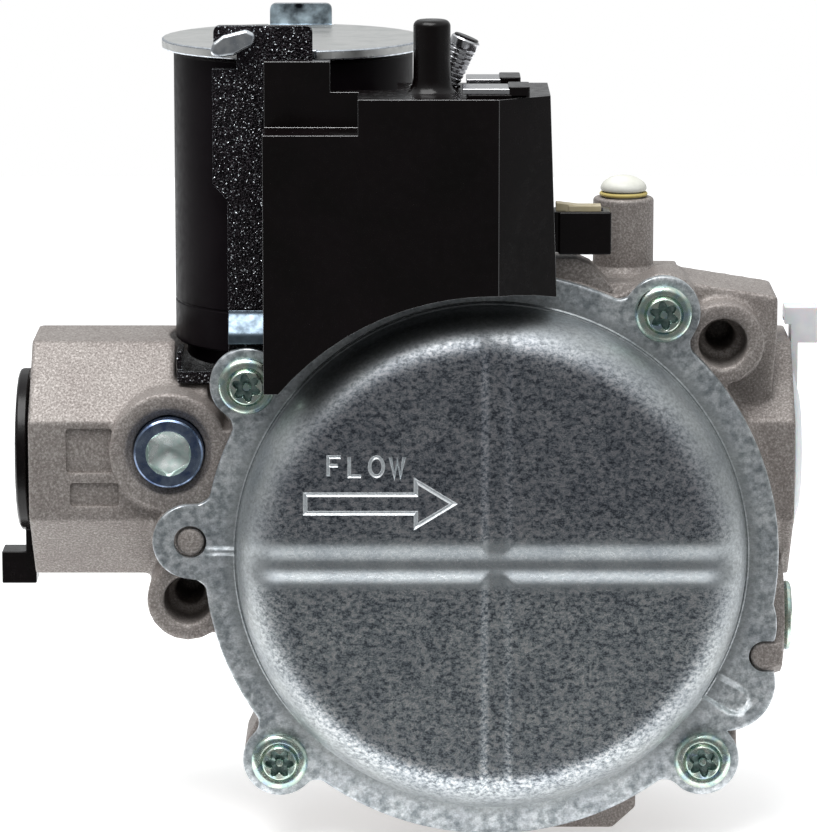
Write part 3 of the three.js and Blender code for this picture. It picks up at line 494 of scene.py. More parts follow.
def bake_modifiers(thing, sharp=CREASE):
    """Replaces an object's mesh with what its modifiers make of it."""
    materials = [material for material in thing.data.materials if material]
    evaluated = thing.evaluated_get(bpy.context.evaluated_depsgraph_get())
    mesh = bpy.data.meshes.new_from_object(evaluated)
    thing.modifiers.clear()
    thing.data = mesh
    places = [polygon.material_index for polygon in mesh.polygons]
    mesh.materials.clear()
    for material in materials:
        mesh.materials.append(material)
    mesh.polygons.foreach_set("material_index", [min(p, max(0, len(materials) - 1)) for p in places])
    mesh.polygons.foreach_set("use_smooth", [True] * len(mesh.polygons))
    mesh.set_sharp_from_angle(angle=math.radians(sharp))


def cut_away(thing, *tools, sharp=CREASE):
    """Takes tool shapes off an object."""
    cutters = [as_object("cutter", tool) for tool in tools]
    for cutter in cutters:
        for material in thing.data.materials:
            cutter.data.materials.append(material)
        modifier = thing.modifiers.new("cut", "BOOLEAN")
        modifier.operation = "DIFFERENCE"
        modifier.object = cutter
        modifier.solver = "MANIFOLD"
    bake_modifiers(thing, sharp)
    for cutter in cutters:
        bpy.data.objects.remove(cutter)


def piece(name, thing, *stands_for, look=None, edge=0.0, steps=3, rim=None, like=None):
    """Dresses an object in the look of the CAD nodes' slot, unless it has a material or another look, and
    ties it to the body of the CAD nodes it stands for or is like.
    """
    model = stands_for[0] if stands_for else like
    if isinstance(thing, bmesh.types.BMesh):
        thing = as_object(name, thing)
    thing.name = name
    if not thing.data.materials:
        thing.data.materials.append(LOOKS[look or SLOT_OF[model]])
    if edge:
        modifier = thing.modifiers.new("edges", "BEVEL")
        modifier.width = edge * MM
        modifier.segments = steps
        modifier.limit_method = "ANGLE"
        modifier.angle_limit = math.radians(CREASE)
        modifier.harden_normals = True
        if rim:
            thing.data.materials.append(LOOKS[rim])
            modifier.material = len(thing.data.materials) - 1
    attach(thing, BODY_OF[model])
    if stands_for:
        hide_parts(*stands_for)
    return thing


# ---------------------------------------- stamped cover

SCREWS = [middle(f"cover_screw_{i}") for i in (1, 2, 3, 4)]
SHEET = 1.2
DOME = {"base": 35.7, "face": 29.5, "height": 10.5, "spring": 2.5}
FLANGE_R = 40.4
LUG_R = 5.2
DOWEL, DOWEL_R = Vector((-42.3, 2)), 2.3
NOTCH, NOTCH_R, NOTCH_LENGTH = Vector((38.6, -14.5)), 2.2, 7
LOBES = [(s.x, s.z, LUG_R) for s in SCREWS]  # X, Z and radius of each
LOBES += [(DOWEL.x, DOWEL.y, 5.3), (31.3, -10, 9), (33.2, -18.4, 7)]
GROOVE_MIDDLE = 0.6
GROOVES_END, GROOVE_FADE = 30, 5.5
UPRIGHT_GROOVE = {"floor": 0.75, "wall": 2.6, "depth": 0.6}
LEVEL_GROOVE = {"floor": 0.2, "depth": 0.86}
LEVEL_WALL_ABOVE, LEVEL_WALL_BELOW = 3.4, 3.0
COVER_STEPS = 900  # segments round the cover


def flange_radius(angle):
    """Outer radius of the flange in one direction: a disc with round lobes blended into it."""
    blend = math.radians(2.5)
    out = FLANGE_R
    for x, z, r in LOBES:
        distance = math.hypot(x, z)
        away = abs(math.remainder(angle - math.atan2(z, x), 2 * math.pi))
        tangent = math.asin(r / distance)
        if away <= tangent:
            half = math.sqrt(max(0.0, r ** 2 - (distance * math.sin(away)) ** 2))
            out = max(out, distance * math.cos(away) + half)
        elif away < tangent + blend:
            edge = distance * math.cos(tangent) - FLANGE_R
            out = max(out, FLANGE_R + edge * (1 - (away - tangent) / blend) ** 2)
    return out


def smooth_step(value):
    value = min(1.0, max(0.0, value))
    return value * value * (3 - 2 * value)


def trough(distance, floor, wall, depth):
    """Depth of a pressed groove at a distance from its middle, with a flat floor and sloping walls."""
    return depth * smooth_step((wall - abs(distance)) / (wall - floor))


def groove_depth(x, z):
    """Depth of the two crossing grooves pressed into the dome, which run out on its shoulder."""
    fade = 1 - smooth_step((math.hypot(x, z) - GROOVES_END) / GROOVE_FADE)
    upright = trough(x - GROOVE_MIDDLE, **UPRIGHT_GROOVE)
    wall = LEVEL_WALL_ABOVE if z > GROOVE_MIDDLE else LEVEL_WALL_BELOW
    level = trough(z - GROOVE_MIDDLE, wall=wall, **LEVEL_GROOVE)
    return (upright ** 4 + level ** 4) ** 0.25 * fade


def capsule(x, z, start, end):
    """Distance of a point from a line between two points."""
    line = end - start
    point = Vector((x, z))
    along = min(1.0, max(0.0, (point - start).dot(line) / line.length_squared))
    return (point - start - line * along).length


PASSAGE_BEAD = (Vector((28.5, -17.1)), Vector((34.6, -20.8)))
DOWEL_BEAD = (Vector((-39.6, 0.7)), Vector((-36.4, 0.7)))


def bead_height(x, z):
    """Raised beads on the flange: one over a gas passage, one beside the dowel."""
    passage = 0.85 * smooth_step((2.3 - capsule(x, z, *PASSAGE_BEAD)) / 0.9)
    dowel = 0.35 * smooth_step((0.75 - capsule(x, z, *DOWEL_BEAD)) / 0.6)
    return max(passage, dowel)


def shoulder(outer, top, steps):
    """Points and normals down the rounded shoulder, from the flat face to the upright wall."""
    out, up = outer - DOME["face"], top - DOME["spring"]
    rings = []
    for i in range(steps + 1):
        angle = math.pi / 2 * (1 - i / steps)
        point = (DOME["face"] + out * math.cos(angle), DOME["spring"] + up * math.sin(angle))
        slope = Vector((up * math.cos(angle), out * math.sin(angle))).normalized()
        rings.append(("dome", *point, slope))
    return rings


FLANGE_START = 0.6  # from the foot of the dome
EDGE_ROUNDING = 0.3


def cover_rings():
    """The skin as rings from the middle of the front to the middle of the back."""
    flat, out = Vector((0, 1)), Vector((1, 0))
    base, height = DOME["base"], DOME["height"]
    face_rings, flange_rings = 58, 14
    rings = [("dome", DOME["face"] * i / face_rings, height, flat) for i in range(face_rings)]
    rings += shoulder(base, height, 18)
    rings += [("dome", base, 1.6, out), ("plain", base + 0.05, SHEET + 0.05, flat)]
    for step, rise in ((0.25, 0), (0.4, 0.14), (FLANGE_START, 0)):
        rings.append(("plain", base + step, SHEET + rise, flat))
    rings += [("flange", i / flange_rings, SHEET, flat) for i in range(1, flange_rings + 1)]
    for step, height_there in ((-0.1, SHEET - 0.09), (0.0, SHEET - 0.3), (0.0, 0.0)):
        rings.append(("edge", step, height_there, flat))
    inner = base - SHEET
    rings.append(("back", inner, 0.0, flat))
    rings += [("back", *ring[1:]) for ring in reversed(shoulder(inner, height - SHEET, 6))]
    rings.append(("back", 0.0, height - SHEET, flat))
    return rings


def cover_mesh():
    """One closed skin in fine rings: the pressed front, the flange's edge and the plain back."""
    start_flange = DOME["base"] + FLANGE_START
    angles = [2 * math.pi * i / COVER_STEPS for i in range(COVER_STEPS)]
    edges = [flange_radius(angle) for angle in angles]
    made = bmesh.new()
    loops = []
    for kind, value, height, normal in cover_rings():
        loop = []
        for i in range(1 if value == 0 and kind in ("dome", "back") else COVER_STEPS):
            radius = value
            if kind == "flange":
                radius = start_flange + (edges[i] - EDGE_ROUNDING - start_flange) * value
            elif kind == "edge":
                radius = edges[i] + value
            way = Vector((math.cos(angles[i]), math.sin(angles[i])))
            place = way * radius
            rise = height
            if kind == "dome":
                depth = groove_depth(*place)
                place -= way * normal.x * depth
                rise -= normal.y * depth
            elif kind in ("plain", "flange"):
                rise += bead_height(*place)
            loop.append(made.verts.new(FRAME @ Vector((place.x, -rise, place.y))))
        loops.append(loop)
    for a, b in zip(loops, loops[1:]):
        skin(made, a, b)
    return made


def engraver(path, closed=False, width=0.62, depth=0.24, top=0.1):
    """V-shaped cutter along a line of points drawn in X and Z on the dome's flat face."""
    made = bmesh.new()
    points = [Vector(p) for p in path]
    half = width / 2 * (depth + top) / depth
    count = len(points)
    rows = []
    for i, point in enumerate(points):
        before = points[i - 1] if i or closed else None
        after = points[(i + 1) % count] if i < count - 1 or closed else None
        ways = [(point - before).normalized()] if before is not None else []
        ways += [(after - point).normalized()] if after is not None else []
        way = sum(ways, Vector((0, 0))).normalized()
        across = Vector((-way.y, way.x))
        mitre = half / max(0.4, math.sqrt(max(0.0, (1 + ways[0].dot(ways[-1])) / 2)))
        a, b = point + across * mitre, point - across * mitre
        high, low = -(DOME["height"] + top), -(DOME["height"] - depth)
        corners = ((a.x, high, a.y), (b.x, high, b.y), (point.x, low, point.y))
        rows.append([made.verts.new(FRAME @ Vector(c)) for c in corners])
    for i in range(count if closed else count - 1):
        a, b = rows[i], rows[(i + 1) % count]
        for k in range(3):
            made.faces.new([a[k], a[(k + 1) % 3], b[(k + 1) % 3], b[k]])
    if not closed:
        made.faces.new(rows[0])
        made.faces.new(rows[-1])
    return made


def arc(cx, cz, rx, rz, start, end, steps=8):
    """Points on part of an ellipse, angles in degrees."""
    turn = [math.radians(start + (end - start) * i / steps) for i in range(steps + 1)]
    return [(cx + rx * math.cos(a), cz + rz * math.sin(a)) for a in turn]


LETTER_WIDTH, LETTER_HEIGHT, LETTER_PITCH = 1.9, 2.7, 2.9
WORD_START = Vector((-22.8, 13.3))


def flow_marks():
    """Cutters of an outline arrow in the direction of flow and of a plain word above it. The strokes that
    meet another one of their letter come in a list of their own."""
    arrow = [
        (-25.9, 8.1), (-10.6, 8.1), (-10.6, 6.2), (-5.4, 9.4), (-10.6, 12.6), (-10.6, 10.7), (-25.9, 10.7),
    ]
    marks = [engraver(arrow, closed=True)]
    late = []
    w, h = LETTER_WIDTH, LETTER_HEIGHT
    glyphs = {
        "F": [[(w * 0.95, h), (0.1, h), (0.1, 0)], [(0.1, h * 0.55), (w * 0.75, h * 0.55)]],
        "L": [[(0.1, h), (0.1, 0), (w * 0.9, 0)]],
        "O": [arc(w / 2, h / 2, w / 2, h / 2, 0, 337.5, 15)],
        "W": [[(0, h), (w * 0.28, 0), (w * 0.5, h * 0.8), (w * 0.72, 0), (w, h)]],
    }
    x, z = WORD_START
    for letter in "FLOW":
        for order, stroke in enumerate(glyphs[letter]):
            shifted = [(x + px, z + pz) for px, pz in stroke]
            tool = engraver(shifted, closed=letter == "O", width=0.5)
            (late if order else marks).append(tool)
        x += LETTER_PITCH
    return marks, late


def stamped_cover():
    cover = as_object("cover", cover_mesh())
    through = 5
    hole = [(0, -through), (DOWEL_R, -through), (DOWEL_R, through), (0, through)]
    dowel_hole = lathe(hole, placed(DOWEL.x, 0, DOWEL.y, "y"), 64)
    slot = arc(*NOTCH, NOTCH_R, NOTCH_R, 90, 270, 24)
    slot += [(NOTCH.x + NOTCH_LENGTH, NOTCH.y + side * NOTCH_R) for side in (-1, 1)]
    notch = prism(slot, -through, through, placed(axis="-y"))
    cut_away(cover, dowel_hole, notch)
    marks, late = flow_marks()
    # The marks' cut faces get a lighter zinc as a painted highlight.
    for material in (LOOKS["cover_zinc"], LOOKS["engraved_highlight_zinc"]):
        cover.data.materials.append(material)
    for mark in marks + late:
        for face in mark.faces:
            face.material_index = 1
    cut_away(cover, *marks, *late)
    piece("cover_stamping", cover, "diaphragm_cover")


# ---------------------------------------- screws and plugs


def star(angle):
    """Radius of the six-lobe recess in one direction."""
    return 1.62 + 0.36 * math.cos(6 * angle)


SCREW_STEPS = 120  # segments round a screw head
PLUG_STEPS = 144  # segments round a pipe plug


def mark_rings(made, steps, first, last=None):
    """Gives the second material to the faces between two rings of a lathed shape that starts on its axis,
    or to all the faces after the first of them."""
    made.verts.ensure_lookup_table()
    end = None if last is None else 1 + steps * (last - 1)
    chosen = set(made.verts[1 + steps * (first - 1):end])
    for face in made.faces:
        face.material_index = int(all(vert in chosen for vert in face.verts))


def cover_screws():
    """Pan heads with a six-lobe recess round a pin."""
    for number, centre in enumerate(SCREWS, 1):
        turn = 0.35 * number * number

        def lobe(offset, turn=turn):
            return lambda angle: star(angle + turn) + offset

        shank = [(0, -8.5), (1.7, -8.5), (1.7, 0)]
        flange = [(3.85, 0), (4, 0.15), (4, 0.8), (3.85, 1.15), (3.5, 1.4), (3.1, 1.5), (2.75, 1.42)]
        crown = [(2.6, 1.2), (2.52, 1.25), (2.46, 1.75), (2.38, 1.98), (2.22, 2.1)]
        profile = [*shank, *flange, *crown, (lobe(0.14), 2.12), (lobe(0.04), 2.02)]
        first = len(profile)
        profile += [(lobe(0), 1.9), (lobe(-0.08), 0.8), (0.62, 0.75), (0.62, 1.3)]
        last = len(profile)
        profile += [(0.6, 1.6), (0.5, 1.72), (0, 1.75)]
        head = lathe(profile, placed(centre.x, -SHEET - 0.1, centre.z, "-y"), SCREW_STEPS)
        # The recess faces get the second material, a darker zinc as painted shade.
        mark_rings(head, SCREW_STEPS, first, last)
        head = as_object("head", head)
        for look in ("zinc_fastener", "recess_shade_zinc"):
            head.data.materials.append(LOOKS[look])
        piece(f"cover_screw_head_{number}", head, f"cover_screw_{number}")


PLUG_R = 4.95
THREAD = {"depth": 0.28, "turns": 9, "half_pitch": 0.35, "start": -7.2}


def tap_plug(name, node, place, ring_look):
    """Pipe plug: chamfered ring, then a hexagon socket with a drilled cone at its floor."""

    def hexagon(across, blend=0.0):
        def radius(angle):
            flat = across / 2 / math.cos(math.remainder(angle, math.pi / 3))
            return flat + (across / 2 * 1.08 - flat) * blend
        return radius

    profile = [(0, -8.5), (4.2, -8.5), (PLUG_R, -7.7)]
    for i in range(2 * THREAD["turns"]):
        root = THREAD["depth"] * (i % 2)
        profile.append((PLUG_R - root, THREAD["start"] + THREAD["half_pitch"] * i))
    profile += [(PLUG_R, -0.6), (4.85, -0.2), (4.6, 0), (3.5, -0.02), (3.2, -0.1)]
    ring_end = len(profile)
    profile += [(hexagon(6.1, 1.0), -0.3), (hexagon(5.8, 0.35), -0.8), (hexagon(5.7), -1.1)]
    profile += [(hexagon(5.7), -2.4), (2.2, -2.7), (0.6, -3.5), (0, -3.6)]
    plug = lathe(profile, place, PLUG_STEPS)
    # The socket faces get the second material, a brighter zinc as a painted reflection.
    mark_rings(plug, PLUG_STEPS, ring_end)
    plug = as_object(name, plug)
    for look in (ring_look, "socket_reflection_zinc"):
        plug.data.materials.append(LOOKS[look])
    piece(name, plug, node)


def tap_plugs():
    inlet = middle("inlet_tap_plug")
    place = placed(inlet.x, reach("inlet_tap_plug")[0].y, inlet.z, "-y")
    tap_plug("inlet_tap_fitting", "inlet_tap_plug", place, "blue_zinc")
    outlet = middle("outlet_tap_plug")
    place = placed(reach("outlet_tap_plug")[1].x, outlet.y, outlet.z, "x")
    tap_plug("outlet_tap_fitting", "outlet_tap_plug", place, "zinc_fastener")


# ---------------------------------------- casting

INLET_ACROSS_FLATS = 33.9
INLET_FACET_Y = 20 - INLET_ACROSS_FLATS / 2
INLET_PANELS = [(-59.9, 11, 6.6, 6.4), (-59.4, 6.2, 6.9, 3.4)]  # left, bottom, width, height
PANEL_DEPTH = 0.6
HUMP = [(6, 37), (17.4, 37), (16.2, 38.4), (13.8, 41), (11.8, 41.9), (6, 41.9)]  # X and Z beside the tower


def casting():
    """The casting with the soft edges of a die casting: remeshed finely, then relaxed."""
    body = as_object("body", from_cad("valve_body"))
    remesh = body.modifiers.new("skin", "REMESH")
    remesh.mode = "VOXEL"
    remesh.voxel_size = 0.4 * MM
    relax = body.modifiers.new("relax", "SMOOTH")
    relax.factor = 0.5
    relax.iterations = 5
    bake_modifiers(body, sharp=180)
    panels = [rounded([(x, z), (x + w, z), (x + w, z + h), (x, z + h)], 0.5) for x, z, w, h in INLET_PANELS]
    floor_depth = -INLET_FACET_Y - PANEL_DEPTH
    cutters = [prism(panel, floor_depth, floor_depth + 2, placed(axis="-y")) for panel in panels]
    cut_away(body, *cutters, sharp=55)
    piece("casting", body, "valve_body")
    shape = prism(rounded(HUMP, 0.8), -7, -1.3, placed(axis="-y"))
    piece("casting_hump", shape, like="valve_body", look="cast_aluminium", edge=0.5)


# ---------------------------------------- solenoid

COIL = middle("coil_jacket")
COIL_R = 17.0
LOWER_COIL_R = 15.4
COIL_BORE_R, FOOT_BORE_R = 15.2, 13.8  # above and below the step
COIL_STEP, COIL_SEAM = 27.8, 33.6  # heights
BOSS_ROOM = 4.2  # radius left free round the screw boss


def coil_shell():
    """The coil's moulded jacket, narrower below its step and with a moulding seam round it."""
    low, high = reach("coil_jacket")
    boss = SCREWS[0] - Vector((COIL.x, 0, 0))

    def foot(angle, radius):
        """Height of the shell's lower edge, which steps over the screw boss at the front."""
        x = radius * math.cos(angle)
        y = radius * math.sin(angle)
        if y < 0 and abs(x - boss.x) < BOSS_ROOM:
            return max(low.z, boss.z + math.sqrt(BOSS_ROOM ** 2 - (x - boss.x) ** 2))
        return low.z

    made = bmesh.new()
    segments = 192
    bore, wall_bore, step, seam = FOOT_BORE_R, COIL_BORE_R, COIL_STEP, COIL_SEAM
    profile = [("foot", wall_bore, 0.0), ("foot", LOWER_COIL_R, 0.3), ("high", LOWER_COIL_R, step)]
    profile += [("high", COIL_R - 0.3, step), ("high", COIL_R, step + 0.3), ("high", COIL_R, seam - 0.2)]
    profile += [("high", COIL_R - 0.15, seam - 0.05), ("high", COIL_R - 0.15, seam + 0.1)]
    profile += [("high", COIL_R, seam + 0.25), ("high", COIL_R, high.z - 0.4)]
    profile += [("high", COIL_R - 0.2, high.z - 0.1), ("high", COIL_R - 0.5, high.z)]
    profile += [("high", wall_bore, high.z), ("high", wall_bore, step + 1)]
    profile += [("high", bore, step + 1), ("foot", bore, 0.0)]
    place = placed(COIL.x, COIL.y)
    rings = []
    for kind, radius, height in profile:
        ring = []
        for i in range(segments):
            angle = 2 * math.pi * i / segments
            bottom = foot(angle, radius)
            z = bottom + height if kind == "foot" else max(height, bottom + 0.4)
            point = Vector((radius * math.cos(angle), radius * math.sin(angle), z))
            ring.append(made.verts.new(place @ point))
        rings.append(ring)
    for a, b in zip(rings, rings[1:] + rings[:1]):
        skin(made, a, b)
    piece("coil_shell", made, "coil_jacket", look="jacket_plastic")


def top_plate():
    """The round plate on the coil, with a painted highlight in bright zinc on its edge."""
    plate = from_cad("frame_top_plate")
    piece("coil_top_plate", plate, "frame_top_plate", look="plate_zinc", edge=0.25, rim="edge_highlight_zinc")


PLATE_TOP = 70.6
BEHIND_COIL = 36
TAB = [
    (-39.1, 70.7), (-37.9, 70.2), (-35.6, 70.5), (-32.9, 71.9), (-32.6, 73.4), (-34, 74.1), (-37.2, 73.3),
    (-38.6, 72.2),
]  # X and Z
STRAP_STEP = {"foot": -34.6, "run": 3.4, "front": 0.98, "drop": 2.2, "end": -30.2, "back": 1.3}
STEP_LEFT, STEP_RIGHT = -36.75, -31.6


def strap():
    """The bent steel strap, its bright rear tab, the twisted tab in front and the step at its foot."""
    frame_skin = from_cad("solenoid_frame")
    everything = [*frame_skin.verts, *frame_skin.edges, *frame_skin.faces]
    above_plate = FRAME @ Vector((0, 0, PLATE_TOP))
    bmesh.ops.bisect_plane(frame_skin, geom=everything, plane_co=above_plate, plane_no=(0, 0, 1))
    to_drawing = FRAME.inverted()
    for face in frame_skin.faces:
        centre = to_drawing @ face.calc_center_median()
        face.material_index = int(centre.y > BEHIND_COIL and centre.z > PLATE_TOP)
    bent = as_object("strap", frame_skin)
    for look in ("dark_zinc", "dark_chrome"):
        bent.data.materials.append(LOOKS[look])
    # The bevelled edges get a bright zinc as a painted highlight.
    piece("coil_strap", bent, "solenoid_frame", edge=0.22, rim="edge_highlight_zinc")
    shape = prism(rounded(TAB, 0.8), -0.9, 1.2, placed(axis="-y"))
    piece("strap_tab", shape, like="solenoid_frame", look="chrome", edge=0.6, steps=5)
    foot, end, front, back = (STRAP_STEP[key] for key in ("foot", "end", "front", "back"))
    shares = [i / 12 for i in range(13)]
    step = [(foot + STRAP_STEP["run"] * i, front - STRAP_STEP["drop"] * smooth_step(i)) for i in shares]
    section = [(foot, back), *step, (end, front - STRAP_STEP["drop"]), (end, back)]
    shape = prism(section, STEP_LEFT, STEP_RIGHT, placed(axis="x"))
    piece("strap_step", shape, like="solenoid_frame", look="step_zinc", edge=0.1)


# ---------------------------------------- control housing

POST_PLACE, POST_R, POST_HEIGHT, POST_ROUNDING = (-8.4, -3), 2.56, 9.0, 0.9
POST_FOOT = 1.3  # below the top of the front blade


def control_housing():
    """The moulded housing with its edges in a lighter, glossier black as a painted highlight, and the round
    post beside the switch lever.
    """
    piece("control_housing", from_cad("operator_cover"), "operator_cover", edge=0.3, rim="edge_highlight_plastic")
    foot = reach("terminal_front")[1].z - POST_FOOT
    flare = [(0, 0), (3.3, 0), (3.05, 0.25), (2.75, 0.8), (2.6, 1.8), (POST_R, 4)]
    crown = arc(POST_R - POST_ROUNDING, POST_HEIGHT, POST_ROUNDING, POST_ROUNDING, 0, 90, 8)[1:]
    post = [*flare, (POST_R, POST_HEIGHT), *crown, (0, 9.92)]
    sleeve = lathe(post, placed(*POST_PLACE, foot), 64)
    piece("housing_post", sleeve, like="operator_cover", look="black_plastic")


LEVER_PIVOT, LEVER_LEAN = (-7.85, 3, 62), 22
LEVER_RINGS = {"count": 9, "start": 3.9, "pitch": 0.66, "radius": 1.45, "growth": 0.06, "depth": 0.12}


def switch_lever():
    """Chromed bat lever with turned rings, leaning from its pivot."""
    pivot = Matrix.Translation(LEVER_PIVOT) @ Matrix.Rotation(math.radians(LEVER_LEAN), 4, "Y")
    profile = [(0, -1.3), (0.9, -1.1), (1.35, 0), (1.1, 1.2), (1.15, 4.2)]
    for i in range(LEVER_RINGS["count"]):
        at = LEVER_RINGS["start"] + i * LEVER_RINGS["pitch"]
        r = LEVER_RINGS["radius"] + i * LEVER_RINGS["growth"]
        root = r - LEVER_RINGS["depth"]
        profile += [(root, at), (r, at + 0.12), (r, at + 0.42), (root, at + 0.54)]
    profile += [(1.98, 9.9), (2.05, 10.1), (2.05, 11.1), (1.9, 11.3), (1.6, 11.36)]
    piece("switch_lever", lathe(profile + [(0, 11.3)], FRAME @ pivot, 64), "toggle_lever")
    button = [(0, 11), (1.78, 11), (1.78, 11.5), (1.6, 11.62), (0, 11.66)]
    piece("lever_end", lathe(button, FRAME @ pivot, 48), like="toggle_lever", look="black_plastic")


BED_FOOT = 1.25  # below the top of a blade
GRIP_MARGIN = 0.15


def terminals():
    """The two blades, each on a black bed and with a black end."""
    for node in ("terminal_front", "terminal_rear"):
        name = node.replace("terminal", "blade")
        piece(name, from_cad(node), node, edge=0.15)
        low, high = reach(node)
        front, back = low.y - GRIP_MARGIN, high.y + GRIP_MARGIN
        grips = {
            "bed": (low.x + 0.6, high.x + 0.2, -BED_FOOT, -0.8),
            "end": (high.x - 2.6, high.x + 0.3, -BED_FOOT, 0.25),
        }
        for kind, (left, right, bottom, top) in grips.items():
            plan = [(left, front), (right, front), (right, back), (left, back)]
            block = prism(rounded(plan, 0.4), bottom, top, placed(z=high.z))
            piece(f"{name}_{kind}", block, like="operator_cover", look="black_plastic", edge=0.12)


def plug_shell():
    """The side connector with its neck at the housing and the cream key on its top."""
    piece("plug_shell", from_cad("side_connector"), "side_connector", edge=0.3)
    piece("plug_core", from_cad("connector_insert"), "connector_insert", edge=0.15)
    low, high = reach("side_connector")
    left, right, bottom = low.x - 0.6, low.x + 0.4, low.z + 0.3
    neck = [(left, bottom), (right, bottom), (right, high.z), (left, high.z)]
    shape = prism(rounded(neck, 0.2), -high.y + 0.3, -low.y - 0.3, placed(axis="-y"))
    piece("plug_neck", shape, like="operator_cover", look="black_plastic", edge=0.1)
    key = [(low.x - 0.3, high.z - 0.4), (low.x + 4.6, high.z - 0.4), (low.x + 4.6, high.z + 0.5)]
    key.append((low.x - 0.3, high.z + 1.1))
    shape = prism(rounded(key, 0.15), -high.y + 1.6, -low.y - 1.6, placed(axis="-y"))
    piece("plug_key", shape, like="operator_cover", look="cream_plastic", edge=0.1)


# ---------------------------------------- regulator, caps

TOWER = {"flange": 6.8, "flange_top": 37.6, "neck": 4.9, "outer": 4.3, "bore": 2.9}
RING_R, RING_HALF_WIDTH = 3.15, 0.28
SEAL_CAP_R, SEAL_CAP_RISE = 3.3, 1.9


def regulator():
    """The regulator's tower, the yellow ring in its mouth and the domed cap."""
    tower = middle("regulator_housing")
    low, high = reach("regulator_housing")
    top = high.z
    place = placed(tower.x, tower.y)
    flange, shelf, bore, outer = (TOWER[key] for key in ("flange", "flange_top", "bore", "outer"))
    section = [(bore, low.z), (flange, low.z), (flange, shelf), (TOWER["neck"], shelf + 0.7)]
    section += [(outer, shelf + 1.5), (outer, top), (bore, top)]
    profile = [tuple(point) for point in rounded(section, 0.5)]
    piece("regulator_tower", lathe(profile, place, 96, closed=True), "regulator_housing")
    ring_height = middle("regulator_cap_ring").z
    section = arc(RING_R, ring_height, RING_HALF_WIDTH, RING_HALF_WIDTH, 0, 330, 11)
    piece("regulator_ring", lathe(section, place, 96, closed=True), "regulator_cap_ring")
    dome = [(0, top - 1.8), (2.6, top - 1.8), (2.6, top + 0.9), (3.2, top + 0.95)]
    dome += [*arc(0, top + 1.2, SEAL_CAP_R, SEAL_CAP_RISE, 0, 81, 9), (0, top + 3.1)]
    piece("regulator_dome", lathe(dome, place, 96), "regulator_seal_cap", look="ivory_plastic")


def dust_caps():
    """The plug-in caps of both ports."""
    piece("inlet_cap_moulding", from_cad("inlet_dust_cap"), "inlet_dust_cap", edge=0.7, steps=4)
    piece("outlet_cap_moulding", from_cad("outlet_dust_cap"), "outlet_dust_cap", edge=0.7, steps=4)


def springs():
    """Coil springs, which the record shortens towards their fixed end as the valve that they press on
    moves: copies of the CAD coils in their slot's material, in place of the CAD nodes.
    """
    for joint in RECORD["behaviour"]["joints"]:
        for item in joint.get("deforming_nodes", []):
            if not item["mode"].startswith("scale_"):
                continue
            axis = item["mode"][-1]
            k = "xyz".index(axis)
            low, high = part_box(item["node"])
            start = (low + high) / 2
            end = start.copy()
            start[k] = item[f"fixed_end_{axis}_m"]
            end[k] = low[k] if abs(start[k] - high[k]) < abs(start[k] - low[k]) else high[k]
            coil = as_object(item["node"] + "_coil", from_cad(item["node"]))
            coil.data.materials.append(LOOKS[SLOT_OF[item["node"]]])
            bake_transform(coil)
            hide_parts(item["node"])


def carried_over():
    """CAD nodes that keep their own shape get their slot's material."""
    for name, node in frame["nodes"].items():
        if node.hide_render:
            continue
        node.data.materials.clear()
        node.data.materials.append(LOOKS[SLOT_OF[name]])


# ---------------------------------------- the studio


def environment():
    """Bright above, mid below and dim round the horizon; the camera sees plain white."""
    world = bpy.data.worlds.new("studio")
    scene.world = world
    world.use_nodes = True
    tree = world.node_tree
    tree.nodes.clear()

    def add(kind, **settings):
        node = tree.nodes.new(kind)
        for key, value in settings.items():
            setattr(node, key, value)
        return node

    def math_node(operation, a, b=0.0, c=0.0):
        node = add("ShaderNodeMath", operation=operation)
        for socket, value in zip(node.inputs, (a, b, c)):
            if isinstance(value, bpy.types.NodeSocket):
                tree.links.new(value, socket)
            else:
                socket.default_value = value
        return node.outputs[0]

    def map_range(value, low, high, to_low, to_high):
        node = add("ShaderNodeMapRange", interpolation_type="SMOOTHSTEP")
        tree.links.new(value, node.inputs["Value"])
        for key, number in (("From Min", low), ("From Max", high), ("To Min", to_low), ("To Max", to_high)):
            node.inputs[key].default_value = number
        return node.outputs["Result"]

    direction = add("ShaderNodeSeparateXYZ")
    tree.links.new(add("ShaderNodeTexCoord").outputs["Generated"], direction.inputs[0])
    x, y, z = direction.outputs
    ahead = map_range(y, -0.97, -0.5, 0.17, 0.25)
    behind = map_range(y, 0.35, 0.9, 0.0, 0.25)
    right = map_range(x, 0.3, 0.95, 0.0, 0.1)
    horizon = math_node("ADD", math_node("ADD", ahead, behind), right)
    rising = map_range(z, 0.26, 0.72, 0.0, 1.0)
    upper = math_node("MULTIPLY_ADD", math_node("SUBTRACT", 0.84, horizon), rising, horizon)
    falling = map_range(z, -0.4, -0.85, 0.0, 1.0)
    level = math_node("MULTIPLY_ADD", math_node("SUBTRACT", 0.55, upper), falling, upper)
    seen = add("ShaderNodeBackground")
    seen.inputs["Color"].default_value = (1, 1, 1, 1)
    lit = add("ShaderNodeBackground")
    lit.inputs["Color"].default_value = (0.97, 0.99, 1, 1)
    tree.links.new(level, lit.inputs["Strength"])
    choice = add("ShaderNodeMixShader")
    tree.links.new(add("ShaderNodeLightPath").outputs["Is Camera Ray"], choice.inputs[0])
    tree.links.new(lit.outputs[0], choice.inputs[1])
    tree.links.new(seen.outputs[0], choice.inputs[2])
    tree.links.new(choice.outputs[0], add("ShaderNodeOutputWorld").inputs["Surface"])


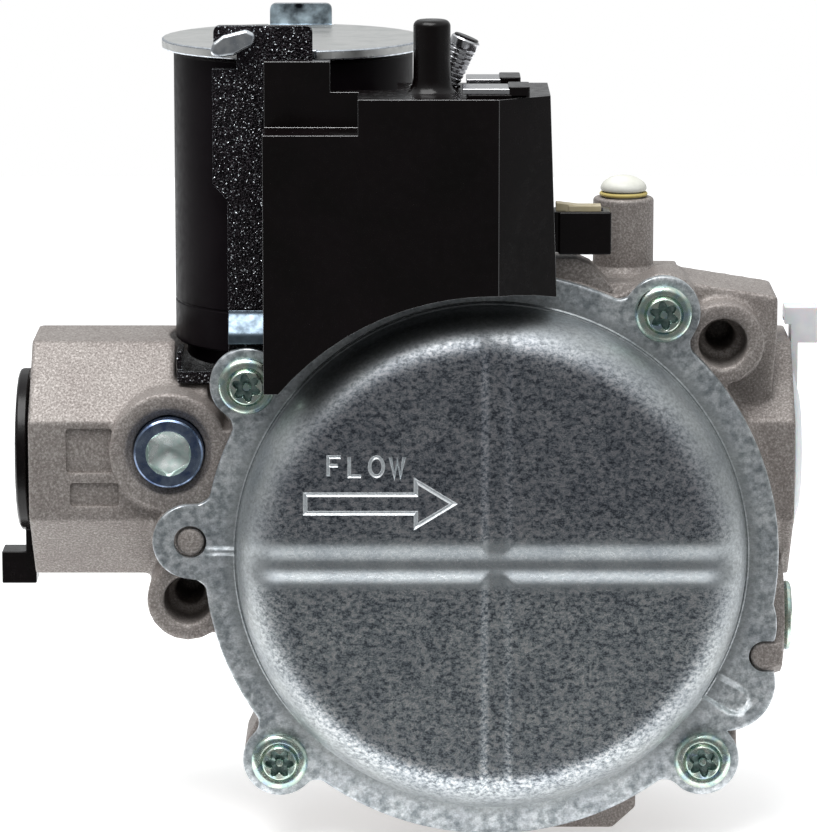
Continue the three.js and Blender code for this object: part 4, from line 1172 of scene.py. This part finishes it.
def soft_box(name, place, target, size, power):
    """A rectangular area light, placed in metres and turned to its target."""
    data = bpy.data.lights.new(name, "AREA")
    data.shape = "RECTANGLE"
    data.size, data.size_y = size
    data.energy = power
    lamp = bpy.data.objects.new(name, data)
    lamp.location = place
    lamp.rotation_euler = (Vector(target) - Vector(place)).to_track_quat("-Z", "Y").to_euler()
    scene.collection.objects.link(lamp)


FLOOR_LEFT, FLOOR_RIGHT, FLOOR_FRONT, FLOOR_BACK = -600, 600, -30, 700


def floor():
    """A pale floor just under the part."""
    look = Look("floor", Roughness=0.7, Emission_Color=(1, 1, 1, 1), Emission_Strength=0.45)
    look.paint("Base Color", look.ramp(look.noise(40, 2), (0.3, 0.9), (0.7, 0.94)))
    made = bmesh.new()
    corners = [(FLOOR_LEFT, FLOOR_FRONT), (FLOOR_RIGHT, FLOOR_FRONT)]
    corners += [(FLOOR_RIGHT, FLOOR_BACK), (FLOOR_LEFT, FLOOR_BACK)]
    place = Matrix.Translation((AXIS.x, FLANGE_BACK, cad_low.z - 0.2 * MM)) @ Matrix.Scale(MM, 4)
    made.faces.new([made.verts.new(place @ Vector((x, y, 0))) for x, y in corners])
    ground = as_object("studio_floor", made)
    ground.data.materials.append(look.material)


def camera():
    """Looks a little down on the cover from in front, from as far away as a long lens needs."""
    target = FRAME @ Vector((-11.62, 0, 19.8))  # the middle of the picture
    tilt = math.radians(10.6)
    away = 0.664  # metres
    data = bpy.data.cameras.new("camera")
    data.sensor_fit = "HORIZONTAL"
    data.sensor_width = 36
    data.lens = 209
    data.clip_start = 0.01
    eye = bpy.data.objects.new("camera", data)
    eye.location = target + Vector((0, -math.cos(tilt), math.sin(tilt))) * away
    eye.rotation_euler = (target - eye.location).to_track_quat("-Z", "Y").to_euler()
    scene.collection.objects.link(eye)
    scene.camera = eye


scene.view_settings.view_transform = "Standard"
camera()
environment()
soft_box("overhead", (-0.08, -0.2, 0.5), (0.05, -0.01, 0.0), (0.5, 0.35), 3.0)
floor()

stamped_cover()
cover_screws()
tap_plugs()
casting()
coil_shell()
top_plate()
strap()
control_housing()
switch_lever()
terminals()
plug_shell()
regulator()
dust_caps()
springs()
carried_over()
